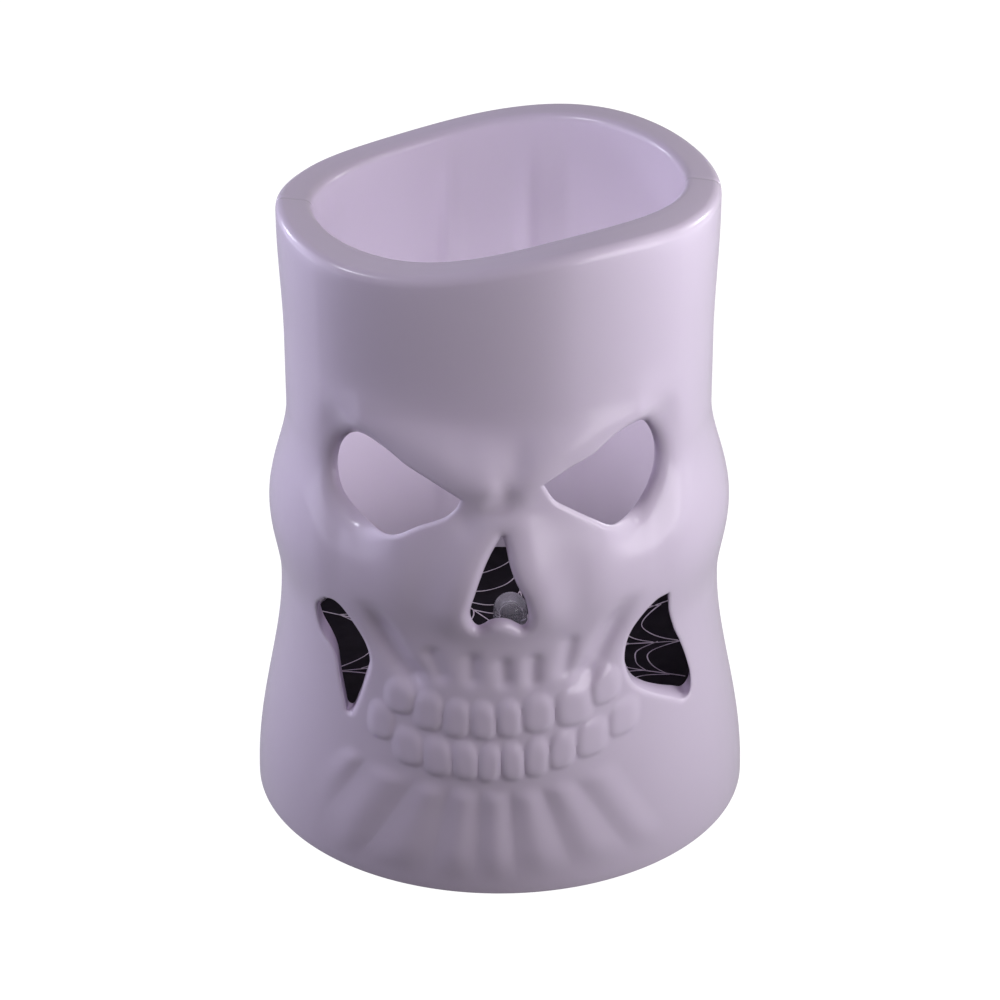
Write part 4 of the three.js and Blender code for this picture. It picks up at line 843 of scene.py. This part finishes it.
def rear_shell_mesh(sizes):
    """Rear half: a closed skin of outside, rim and inside, with faint upright folds in its bore."""
    angles = np.concatenate([[np.pi / 2], steps(*BACK_TURN_NET), [3 * np.pi / 2]])
    outer_z = steps(*BACK_HEIGHT_NET)
    inner_z = steps(*BACK_BORE_NET)[::-1]
    columns = len(angles)
    rim = rim_rows(angles, np.zeros(columns))
    folds = sum(sign * bell(angles - place, reach) for place, reach, sign in BORE_FOLDS)
    blocks = [round_row(outer_radius(np.full(columns, z), angles), z, angles) for z in outer_z] + rim
    for z in inner_z:
        inset = sizes.fold_depth / MM * folds * falling(z, BORE_FOLD_TOP) * rising(z, BORE_FOLD_FOOT)
        blocks.append(round_row(station_radius(INNER_STATIONS, np.full(columns, z)) - inset, z, angles))
    points = np.vstack(blocks)
    lowest = np.arange(columns)
    faces = [grid_faces(len(blocks), columns), foot_faces(lowest, lowest + len(points) - columns)]
    faces += close_seams(points, columns, len(outer_z), len(rim), len(inner_z))
    return points, np.concatenate(faces)


def turned(profile, sides, place=(0, 0)):
    """Turned piece: radius and height pairs from the axis back to the axis, carried round it."""
    profile = np.array(profile, float)
    turn = np.arange(sides) * 2 * np.pi / sides
    inner = profile[1:-1]
    x = inner[:, :1] * np.cos(turn) + place[0]
    y = inner[:, :1] * np.sin(turn) + place[1]
    z = np.repeat(inner[:, 1:], sides, axis=1)
    points = np.column_stack([x.ravel(), y.ravel(), z.ravel()])
    points = np.vstack([points, [(*place, profile[0, 1]), (*place, profile[-1, 1])]])
    ring = np.arange(sides)
    ahead = np.roll(ring, -1)
    faces = []
    for k in range(len(inner) - 1):
        a, b = ring + k * sides, ahead + k * sides
        faces += [np.column_stack([a, b, b + sides]), np.column_stack([a, b + sides, a + sides])]
    last = (len(inner) - 1) * sides
    faces.append(np.column_stack([ahead, ring, np.full(sides, len(points) - 2)]))
    faces.append(np.column_stack([ring + last, ahead + last, np.full(sides, len(points) - 1)]))
    return points, np.concatenate(faces)


def ribbon(path, width, low, high):
    """Flat bar along a path in a level plane: an oblong profile carried along it, with closed ends."""
    path = np.array(path, float)
    along = np.gradient(path, axis=0)
    along /= np.linalg.norm(along, axis=1)[:, None]
    sideways = np.column_stack([-along[:, 1], along[:, 0]]) * np.reshape(width, (-1, 1)) / 2
    count = len(path)
    rows = [np.column_stack([path + sign * sideways, np.full(count, z)])
            for sign, z in ((1, high), (1, low), (-1, low), (-1, high))]
    points = np.vstack(rows)
    k = np.arange(count - 1)
    faces = []
    for first in range(4):
        a, b = k + first * count, k + (first + 1) % 4 * count
        faces += [np.column_stack([a, b + 1, b]), np.column_stack([a, a + 1, b + 1])]
    for end, order in ((0, (0, 1, 2, 3)), (count - 1, (0, 3, 2, 1))):
        a, b, c, d = (corner * count + end for corner in order)
        faces.append(np.array([(a, b, c), (a, c, d)]))
    return points, np.concatenate(faces)


def joined(parts):
    """One mesh of several, side by side."""
    points, faces, count = [], [], 0
    for part_points, part_faces in parts:
        points.append(part_points)
        faces.append(part_faces + count)
        count += len(part_points)
    return np.vstack(points), np.concatenate(faces)


def box_mm(node):
    """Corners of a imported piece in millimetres."""
    low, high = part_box(node)
    return np.array(low) / MM, np.array(high) / MM


def web_mesh(width):
    """Printed web: threads from an off-centre middle to the card's edge, and sagging arcs between
    neighbouring threads at growing distances, with sines that make each of them differ a little."""
    low, high = box_mm("web_card")
    radius = (high[0] - low[0]) / 2 - WEB_MARGIN
    level = high[2]
    top = level + PRINT_HEIGHT
    heads = np.column_stack([np.cos(WEB_THREADS), np.sin(WEB_THREADS)])
    inwards = heads @ WEB_MIDDLE
    reach = -inwards + np.sqrt(inwards ** 2 - WEB_MIDDLE @ WEB_MIDDLE + radius ** 2)
    parts = []
    share = np.linspace(0, 1, THREAD_STEPS)[:, None]
    for k, (head, far) in enumerate(zip(heads, reach)):
        aside = np.array([-head[1], head[0]])
        wander = THREAD_WANDER * share * np.sin(share * (6 + k % 3) + 1.7 * k)
        path = WEB_MIDDLE + head * far * (THREAD_START + (1 - THREAD_START) * share) + aside * wander
        parts.append(ribbon(path, width * (0.9 + 0.3 * np.sin(share * 13 + 2 * k)), level, top))
    for k in range(len(heads)):
        n = (k + 1) % len(heads)
        middle = (heads[k] + heads[n]) / 2
        for turn, arc_share in enumerate(WEB_ARCS):
            start = WEB_MIDDLE + heads[k] * reach[k] * arc_share
            end = WEB_MIDDLE + heads[n] * reach[n] * arc_share * (ARC_SLANT + 0.03 * np.sin(3 * k + turn))
            straight = (start + end) / 2
            sag = WEB_MIDDLE + (straight - WEB_MIDDLE) * (ARC_SAG + 0.04 * np.sin(5 * k + 2 * turn))
            pulled = 2 * sag - straight
            arc = (1 - share) ** 2 * start + 2 * share * (1 - share) * pulled + share ** 2 * end
            wander = ARC_WANDER * np.sin(np.pi * share) * np.sin(share * 11 + 2.3 * k + 7 * turn)
            widths = width * (0.85 + 0.3 * np.sin(share * 9 + k + turn))
            parts.append(ribbon(arc + middle * wander, widths, level, top))
    return joined(parts)


def lens_profile():
    """Profile of the clear diode: a flange, an upright body and a dome, from the axis to the axis."""
    low, high = box_mm("led_lens")
    flange = (high[0] - low[0]) / 2
    body = flange - LENS_STEP
    dome = np.linspace(0, np.pi / 2, DOME_COUNT)[:-1]
    spring = high[2] - body
    points = [(0, low[2])] + [(flange + out, low[2] + rise) for out, rise in LENS_FOOT]
    points += [(body * math.cos(turn), spring + body * math.sin(turn)) for turn in dome]
    return points + [(0, high[2])], (low + high) / 2


def lamp_frame_mesh():
    """Metal inside the diode: a broad post with a cup on it and a slim post, as flat bars stood on end,
    and the cup as a turned dish."""
    lens_low, lens_high = box_mm("led_lens")
    foot = lens_low[2]
    parts = []
    middles = []
    for node, width, top in POSTS:
        low, high = box_mm(node)
        middle = (low + high) / 2
        middles.append(middle)
        path = [(middle[0], foot + POST_FOOT), (middle[0], foot + top)]
        points, faces = ribbon(path, width, middle[1] - POST_HALF, middle[1] + POST_HALF)
        parts.append((points[:, [0, 2, 1]], faces[:, ::-1]))
    place = (middles[0] + (lens_low + lens_high) / 2)[:2] / 2
    cup = [(radius, foot + CUP_LEVEL + rise) for radius, rise in CUP]
    parts.append(turned(cup, CUP_SIDES, place))
    return joined(parts)


def screw_mesh(node):
    """Screw with its head down: a stepped profile carried round its axis, with a cross sunk into the face
    of the head where a place is near one of the two middle lines and not too far out."""
    low, high = box_mm(node)
    middle = (low + high) / 2
    head = (high[0] - low[0]) / 2
    shank = head / 2
    profile = [(radius, low[2]) for radius in np.linspace(0, head - HEAD_FLAT, HEAD_RINGS)]
    profile += [(head + out, low[2] + rise) for out, rise in HEAD_EDGE]
    profile += [(shank, low[2] + HEAD_HEIGHT), (shank, high[2] - shank), (0, high[2])]
    points, faces = turned(profile, SCREW_SIDES, middle[:2])
    aside = np.abs(points[:, :2] - middle[:2])
    cross = falling(aside.min(axis=1), CROSS_SIDE) * falling(aside.max(axis=1), CROSS_END)
    points[:, 2] += CROSS_DEPTH * cross * (points[:, 2] < low[2] + FACE_SLACK)
    return points, faces


def door_grip_mesh():
    """Low bars across the free end of the battery door, to push it by."""
    low, high = box_mm("battery_door")
    bars = []
    for k in range(GRIP_BARS):
        x = high[0] - GRIP_FIRST - GRIP_PITCH * k
        path = [(x, -GRIP_HALF), (x, GRIP_HALF)]
        bars.append(ribbon(path, GRIP_WIDTH, low[2] - GRIP_RISE, low[2] + GRIP_ROOT))
    return joined(bars)


def group_socket(group, name, kind, default=None, output=False):
    """Adds one socket to a node group."""
    socket = group.interface.new_socket(name=name, in_out="OUTPUT" if output else "INPUT", socket_type=kind)
    if default is not None:
        socket.default_value = default


def link(tree, source, target):
    """Links two sockets."""
    tree.links.new(source, target)


def grain_group():
    """Shared node group: slow mottling and fine grain over object coordinates."""
    group = bpy.data.node_groups.get("moulded_grain")
    if group:
        return group
    group = bpy.data.node_groups.new("moulded_grain", "ShaderNodeTree")
    group_socket(group, "Scale", "NodeSocketFloat", 900)
    group_socket(group, "Mottle", "NodeSocketFloat", 0.05)
    group_socket(group, "Shade", "NodeSocketFloat", output=True)
    group_socket(group, "Cloud", "NodeSocketFloat", output=True)
    group_socket(group, "Height", "NodeSocketFloat", output=True)
    nodes = group.nodes
    inlet, outlet = nodes.new("NodeGroupInput"), nodes.new("NodeGroupOutput")
    place = nodes.new("ShaderNodeTexCoord")
    slow_scale = nodes.new("ShaderNodeMath")
    slow_scale.operation = "MULTIPLY"
    slow_scale.inputs[1].default_value = SLOW_SHARE
    slow, fine = nodes.new("ShaderNodeTexNoise"), nodes.new("ShaderNodeTexNoise")
    slow.inputs["Detail"].default_value = SLOW_DETAIL
    fine.inputs["Detail"].default_value = FINE_DETAIL
    centred = nodes.new("ShaderNodeMath")
    centred.operation = "SUBTRACT"
    centred.inputs[1].default_value = 0.5
    shade = nodes.new("ShaderNodeMath")
    shade.operation = "MULTIPLY_ADD"
    shade.inputs[2].default_value = 1
    link(group, inlet.outputs["Scale"], slow_scale.inputs[0])
    link(group, slow_scale.outputs[0], slow.inputs["Scale"])
    link(group, inlet.outputs["Scale"], fine.inputs["Scale"])
    for noise in (slow, fine):
        link(group, place.outputs["Object"], noise.inputs["Vector"])
    link(group, slow.outputs["Fac"], centred.inputs[0])
    link(group, centred.outputs[0], shade.inputs[0])
    link(group, inlet.outputs["Mottle"], shade.inputs[1])
    link(group, shade.outputs[0], outlet.inputs["Shade"])
    link(group, slow.outputs["Fac"], outlet.inputs["Cloud"])
    link(group, fine.outputs["Fac"], outlet.inputs["Height"])
    return group


def grained_material(name, colour, rough, scale=900, mottle=0.08, rough_spread=0.1, bump=0.1, **fixed):
    """Material with mottled colour, uneven roughness and a fine bump from the shared group; the
    fixed values go straight onto the shader's own sockets."""
    material = bpy.data.materials.new(name)
    material.use_nodes = True
    tree = material.node_tree
    shader = tree.nodes["Principled BSDF"]
    grain = tree.nodes.new("ShaderNodeGroup")
    grain.node_tree = grain_group()
    grain.inputs["Scale"].default_value = scale
    grain.inputs["Mottle"].default_value = mottle
    tint = tree.nodes.new("ShaderNodeMix")
    tint.data_type = "RGBA"
    tint.blend_type = "MULTIPLY"
    tint.inputs["Factor"].default_value = 1
    tint.inputs["A"].default_value = (*colour[:3], 1)
    link(tree, grain.outputs["Shade"], tint.inputs["B"])
    link(tree, tint.outputs["Result"], shader.inputs["Base Color"])
    spread = tree.nodes.new("ShaderNodeMapRange")
    spread.inputs["From Min"].default_value = CLOUD_RANGE[0]
    spread.inputs["From Max"].default_value = CLOUD_RANGE[1]
    spread.inputs["To Min"].default_value = max(LEAST_ROUGH, rough - rough_spread)
    spread.inputs["To Max"].default_value = rough + rough_spread
    link(tree, grain.outputs["Cloud"], spread.inputs["Value"])
    link(tree, spread.outputs["Result"], shader.inputs["Roughness"])
    relief = tree.nodes.new("ShaderNodeBump")
    relief.inputs["Strength"].default_value = bump
    relief.inputs["Distance"].default_value = BUMP_DISTANCE
    link(tree, grain.outputs["Height"], relief.inputs["Height"])
    link(tree, relief.outputs["Normal"], shader.inputs["Normal"])
    for socket, value in fixed.items():
        shader.inputs[socket.replace("_", " ")].default_value = value
    return material


def dress_node(node, material):
    """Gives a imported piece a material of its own."""
    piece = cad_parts[node]
    piece.data.materials.clear()
    piece.data.materials.append(material)


class SkullPotSizes(bpy.types.PropertyGroup):
    """Sizes of the shaped pieces."""
    tooth_rise: bpy.props.FloatProperty(
        name="Tooth rise", description="How far the teeth stand out", default=0.52 * MM, unit="LENGTH")
    chin_depth: bpy.props.FloatProperty(
        name="Chin folds", description="How far the folds under the mouth stand out", default=0.5 * MM,
        unit="LENGTH")
    eye_round: bpy.props.FloatProperty(
        name="Eye edge", description="Round of the eyes' outer edges", default=0.55 * MM, unit="LENGTH")
    eye_outer: bpy.props.FloatProperty(
        name="Eye outer edge", description="Round of the eyes' edges at the sides", default=2.8 * MM,
        unit="LENGTH")
    nose_round: bpy.props.FloatProperty(
        name="Nose edge", description="Round of the nose's outer edge", default=1.5 * MM, unit="LENGTH")
    cheek_round: bpy.props.FloatProperty(
        name="Cheek edge", description="Round of the cheek openings' outer edges", default=0.6 * MM,
        unit="LENGTH")
    inner_round: bpy.props.FloatProperty(
        name="Inner edge", description="Round of the openings' inner edges", default=0.4 * MM,
        unit="LENGTH")
    fold_depth: bpy.props.FloatProperty(
        name="Fold depth", description="Height of the upright folds in the bore", default=0.9 * MM,
        unit="LENGTH")
    thread_width: bpy.props.FloatProperty(
        name="Thread width", description="Width of the printed web's threads", default=0.17 * MM,
        unit="LENGTH")


class SkullPotColours(bpy.types.PropertyGroup):
    """Colours of the pieces."""
    shell: bpy.props.FloatVectorProperty(
        name="Shell", description="White plastic", default=(0.725, 0.66, 0.773),
        subtype="COLOR", min=0, max=1)
    black: bpy.props.FloatVectorProperty(
        name="Black", description="Black plastic of the foot", default=(0.02, 0.02, 0.022), subtype="COLOR",
        min=0, max=1)
    card: bpy.props.FloatVectorProperty(
        name="Card", description="Printed card", default=(0.007, 0.006, 0.008),
        subtype="COLOR", min=0, max=1)
    thread: bpy.props.FloatVectorProperty(
        name="Threads", description="White print on the card", default=(0.62, 0.57, 0.62), subtype="COLOR",
        min=0, max=1)
    floor: bpy.props.FloatVectorProperty(
        name="Floor", description="Floor and surroundings", default=(0.2, 0.2, 0.2),
        subtype="COLOR", min=0, max=1)


def shell_material(colours):
    """White plastic shared by both shells: faintly mottled, a little translucent, with a fine bump."""
    material = bpy.data.materials.get("moulded_shell")
    return material or grained_material(
        "moulded_shell", colours.shell, rough=0.24, scale=1500, mottle=0.015, rough_spread=0.03, bump=0.008,
        IOR=1.49, Subsurface_Weight=0.2, Subsurface_Scale=0.002, Subsurface_Radius=(1, 0.9, 1.05))


class POT_OT_front_shell(bpy.types.Operator):
    """Front half of the pot with the skull's face"""
    bl_idname = "skull_pot.front_shell"
    bl_label = "Front shell"

    def execute(self, context):
        points, faces = front_shell_mesh(context.scene.skull_pot_sizes)
        material = shell_material(context.scene.skull_pot_colours)
        piece = add_piece("front_shell_face", points, faces, material, "pot", SHELL_SHARP)
        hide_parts("front_shell")
        return {"FINISHED"}


class POT_OT_rear_shell(bpy.types.Operator):
    """Rear half of the pot"""
    bl_idname = "skull_pot.rear_shell"
    bl_label = "Rear shell"

    def execute(self, context):
        points, faces = rear_shell_mesh(context.scene.skull_pot_sizes)
        material = shell_material(context.scene.skull_pot_colours)
        piece = add_piece("rear_shell_back", points, faces, material, "pot", SHELL_SHARP)
        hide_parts("rear_shell")
        return {"FINISHED"}


class POT_OT_deck(bpy.types.Operator):
    """Deck, printed card and its web of white threads"""
    bl_idname = "skull_pot.deck"
    bl_label = "Deck and card"

    def execute(self, context):
        colours = context.scene.skull_pot_colours
        black = grained_material("deck_black", colours.black, rough=0.5, scale=2500, bump=0.2)
        card = grained_material("card_black", colours.card, rough=0.7, scale=5000, mottle=0.3, bump=0.15,
                                Specular_IOR_Level=0.12)
        thread = grained_material("thread_print", colours.thread, rough=0.6, scale=3000, mottle=0.5,
                                  bump=0.05)
        dress_node("deck_plate", black)
        dress_node("web_card", card)
        points, faces = web_mesh(context.scene.skull_pot_sizes.thread_width / MM)
        add_piece("web_print", points, faces, thread, "pot", PIECE_SHARP)
        return {"FINISHED"}


class POT_OT_lamp(bpy.types.Operator):
    """Clear diode with its two leads"""
    bl_idname = "skull_pot.lamp"
    bl_label = "Lamp"

    def execute(self, context):
        profile, middle = lens_profile()
        points, faces = turned(profile, LENS_SIDES, middle[:2])
        clear = grained_material("clear_lens", (0.85, 0.85, 0.9), rough=0.06, scale=700, mottle=0.02,
                                 rough_spread=0.03, bump=0.02, IOR=1.53, Transmission_Weight=0.88)
        piece = add_piece("lamp_lens", points, faces, clear, "pot", PIECE_SHARP)
        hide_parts("led_lens")
        tin = grained_material("lead_tin", (0.55, 0.56, 0.58), rough=0.3, scale=6000, mottle=0.2, Metallic=1)
        for node in ("led_lead_cathode", "led_lead_anode"):
            dress_node(node, tin)
        points, faces = lamp_frame_mesh()
        add_piece("lamp_frame", points, faces, tin, "pot", PIECE_SHARP)
        return {"FINISHED"}


class POT_OT_foot(bpy.types.Operator):
    """Foot cover, battery door, switch and screws"""
    bl_idname = "skull_pot.foot"
    bl_label = "Foot"

    def execute(self, context):
        colours = context.scene.skull_pot_colours
        black = grained_material("foot_black", colours.black, rough=0.48, scale=3000, mottle=0.2, bump=0.25)
        grey = grained_material("switch_grey", (0.07, 0.07, 0.08), rough=0.4, scale=4000, mottle=0.2,
                                bump=0.15)
        steel = grained_material("screw_steel", (0.42, 0.43, 0.45), rough=0.35, scale=5000, mottle=0.3,
                                 Metallic=1)
        for node in ("base_plate", "battery_door"):
            dress_node(node, black)
        for node in ("switch_housing", "switch_slider"):
            dress_node(node, grey)
        for node in ("door_screw", "base_screw_1", "base_screw_2", "base_screw_3", "base_screw_4",
                     "deck_screw_1", "deck_screw_2", "deck_screw_3"):
            points, faces = screw_mesh(node)
            body = "door" if node == "door_screw" else "pot"
            piece = add_piece(node + "_cross_head", points, faces, steel, body, PIECE_SHARP)
            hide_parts(node)
        points, faces = door_grip_mesh()
        add_piece("door_grip", points, faces, black, "door", PIECE_SHARP)
        return {"FINISHED"}


class POT_OT_works(bpy.types.Operator):
    """Cells, contacts, circuit and wires inside the foot"""
    bl_idname = "skull_pot.works"
    bl_label = "Works"

    def execute(self, context):
        wrap = grained_material("cell_wrap", (0.05, 0.07, 0.11), rough=0.35, scale=1200, mottle=0.3,
                                Metallic=0.3)
        nickel = grained_material("contact_nickel", (0.6, 0.57, 0.5), rough=0.25, scale=4000, mottle=0.15,
                                  Metallic=1)
        board = grained_material("board_green", (0.03, 0.16, 0.07), rough=0.4, scale=3000, mottle=0.4,
                                 bump=0.2)
        blob = grained_material("epoxy_black", (0.008, 0.008, 0.009), rough=0.2, scale=800, mottle=0.3)
        tan = grained_material("resistor_tan", (0.55, 0.38, 0.2), rough=0.4, scale=3000, mottle=0.3)
        for node in ("cell_1", "cell_2"):
            dress_node(node, wrap)
        for node in ("positive_contact", "negative_contact", "link_contact"):
            dress_node(node, nickel)
        dress_node("circuit_board", board)
        dress_node("chip_blob", blob)
        dress_node("resistor", tan)
        for node, colour in (("red_wire", (0.4, 0.02, 0.02)), ("black_wire", (0.01, 0.01, 0.012)),
                             ("yellow_wire", (0.6, 0.38, 0.03))):
            sleeve = grained_material(node + "_sleeve", colour, rough=0.5, scale=3000, mottle=0.2, bump=0.1)
            dress_node(node, sleeve)
        return {"FINISHED"}


def add_lamp(name, place, target, size, power, colour):
    """Soft square studio lamp that looks at a point."""
    data = bpy.data.lights.new(name, "AREA")
    data.size = size
    data.energy = power
    data.color = colour
    lamp = bpy.data.objects.new(name, data)
    bpy.context.scene.collection.objects.link(lamp)
    lamp.location = place
    away = np.subtract(place, target)
    flat = math.hypot(away[0], away[1])
    lamp.rotation_euler = (math.atan2(flat, away[2]), 0, math.atan2(away[0], -away[1]))
    return lamp


def seen_rays(tree, rays):
    """How much of the white background shows: all of it to camera rays and through glass, less in gloss."""
    seen = rays.outputs["Is Camera Ray"]
    for kind, share in (("Is Glossy Ray", GLOSS_SHARE), ("Is Transmission Ray", 1)):
        part = tree.nodes.new("ShaderNodeMath")
        part.operation = "MULTIPLY"
        part.inputs[1].default_value = share
        link(tree, rays.outputs[kind], part.inputs[0])
        either = tree.nodes.new("ShaderNodeMath")
        either.operation = "MAXIMUM"
        link(tree, seen, either.inputs[0])
        link(tree, part.outputs[0], either.inputs[1])
        seen = either.outputs[0]
    return seen


def floor_material(colour):
    """Plain floor that shows as white with a faint shadow, and not at all from below."""
    material = bpy.data.materials.new("studio_floor")
    material.use_nodes = True
    tree = material.node_tree
    shader = tree.nodes["Principled BSDF"]
    shader.inputs["Base Color"].default_value = (*colour, 1)
    shader.inputs["Roughness"].default_value = FLOOR_ROUGH
    glow = tree.nodes.new("ShaderNodeEmission")
    glow.inputs["Strength"].default_value = FLOOR_GLOW
    rays = tree.nodes.new("ShaderNodeLightPath")
    amount = tree.nodes.new("ShaderNodeMath")
    amount.operation = "MULTIPLY"
    amount.inputs[1].default_value = FLOOR_SHOWN
    link(tree, seen_rays(tree, rays), amount.inputs[0])
    mix = tree.nodes.new("ShaderNodeMixShader")
    link(tree, amount.outputs[0], mix.inputs["Fac"])
    link(tree, shader.outputs[0], mix.inputs[1])
    link(tree, glow.outputs[0], mix.inputs[2])
    sides = tree.nodes.new("ShaderNodeNewGeometry")
    clear = tree.nodes.new("ShaderNodeBsdfTransparent")
    clear.inputs["Color"].default_value = WHITE
    one_sided = tree.nodes.new("ShaderNodeMixShader")
    link(tree, sides.outputs["Backfacing"], one_sided.inputs["Fac"])
    link(tree, mix.outputs[0], one_sided.inputs[1])
    link(tree, clear.outputs[0], one_sided.inputs[2])
    link(tree, one_sided.outputs[0], tree.nodes["Material Output"].inputs["Surface"])
    return material


def add_floor(colour):
    """Level floor: a wide ring of squares round the foot."""
    turn = np.linspace(0, 2 * np.pi, FLOOR_SIDES, endpoint=False)
    ring = np.column_stack([np.cos(turn), np.sin(turn), np.zeros(FLOOR_SIDES)])
    first = np.arange(FLOOR_SIDES)
    ahead = np.roll(first, -1)
    squares = np.column_stack([first, first + FLOOR_SIDES, ahead + FLOOR_SIDES, ahead])
    mesh = new_mesh("studio_floor", np.vstack([ring * FLOOR_HOLE, ring * FLOOR_REACH]), squares)
    mesh.materials.append(floor_material(colour))
    floor = bpy.data.objects.new("studio_floor", mesh)
    bpy.context.scene.collection.objects.link(floor)


def add_world():
    """Dim surroundings that light the pot, shown as white to the camera and through glass."""
    world = bpy.data.worlds.new("studio_world")
    world.use_nodes = True
    tree = world.node_tree
    background = tree.nodes["Background"]
    background.inputs["Color"].default_value = WORLD_COLOUR
    background.inputs["Strength"].default_value = WORLD_STRENGTH
    white = tree.nodes.new("ShaderNodeBackground")
    white.inputs["Color"].default_value = WHITE
    mix = tree.nodes.new("ShaderNodeMixShader")
    rays = tree.nodes.new("ShaderNodeLightPath")
    link(tree, seen_rays(tree, rays), mix.inputs["Fac"])
    link(tree, background.outputs[0], mix.inputs[1])
    link(tree, white.outputs[0], mix.inputs[2])
    link(tree, mix.outputs[0], tree.nodes["World Output"].inputs["Surface"])
    bpy.context.scene.world = world


def add_camera():
    """Camera at the photograph's viewing angle."""
    data = bpy.data.cameras.new("photo_camera")
    data.lens = CAMERA_LENS
    data.sensor_width = CAMERA_SENSOR
    data.clip_start = CAMERA_NEAR
    camera = bpy.data.objects.new("photo_camera", data)
    camera.location = CAMERA_PLACE
    camera.rotation_euler = CAMERA_TURN
    bpy.context.scene.collection.objects.link(camera)
    bpy.context.scene.camera = camera


class POT_OT_stage(bpy.types.Operator):
    """Floor, lamps, surroundings and camera"""
    bl_idname = "skull_pot.stage"
    bl_label = "Stage"

    def execute(self, context):
        add_floor(context.scene.skull_pot_colours.floor)
        add_world()
        for lamp in LAMPS:
            add_lamp(*lamp)
        bore = add_lamp(*BORE_LAMP)
        bore.visible_camera = False
        bore.visible_glossy = False
        add_camera()
        context.scene.view_settings.view_transform = "Standard"
        return {"FINISHED"}


class POT_PT_panel(bpy.types.Panel):
    """Sidebar panel with the pot's pieces in the order in which they are built"""
    bl_idname = "POT_PT_panel"
    bl_label = "Skull candle pot"
    bl_space_type = "VIEW_3D"
    bl_region_type = "UI"
    bl_category = "Skull pot"

    def draw(self, context):
        for settings in (context.scene.skull_pot_sizes, context.scene.skull_pot_colours):
            for name in settings.__annotations__:
                self.layout.prop(settings, name)
        for operator in OPERATORS:
            self.layout.operator(operator.bl_idname)


OPERATORS = (POT_OT_front_shell, POT_OT_rear_shell, POT_OT_deck, POT_OT_lamp, POT_OT_foot, POT_OT_works,
             POT_OT_stage)
CLASSES = (SkullPotSizes, SkullPotColours, *OPERATORS, POT_PT_panel)


def register():
    for cls in CLASSES:
        bpy.utils.register_class(cls)
    bpy.types.Scene.skull_pot_sizes = bpy.props.PointerProperty(type=SkullPotSizes)
    bpy.types.Scene.skull_pot_colours = bpy.props.PointerProperty(type=SkullPotColours)


def unregister():
    del bpy.types.Scene.skull_pot_sizes
    del bpy.types.Scene.skull_pot_colours
    for cls in reversed(CLASSES):
        bpy.utils.unregister_class(cls)


def main():
    register()
    bpy.ops.skull_pot.front_shell()
    bpy.ops.skull_pot.rear_shell()
    bpy.ops.skull_pot.deck()
    bpy.ops.skull_pot.lamp()
    bpy.ops.skull_pot.foot()
    bpy.ops.skull_pot.works()
    bpy.ops.skull_pot.stage()


if __name__ == "__main__":
    main()
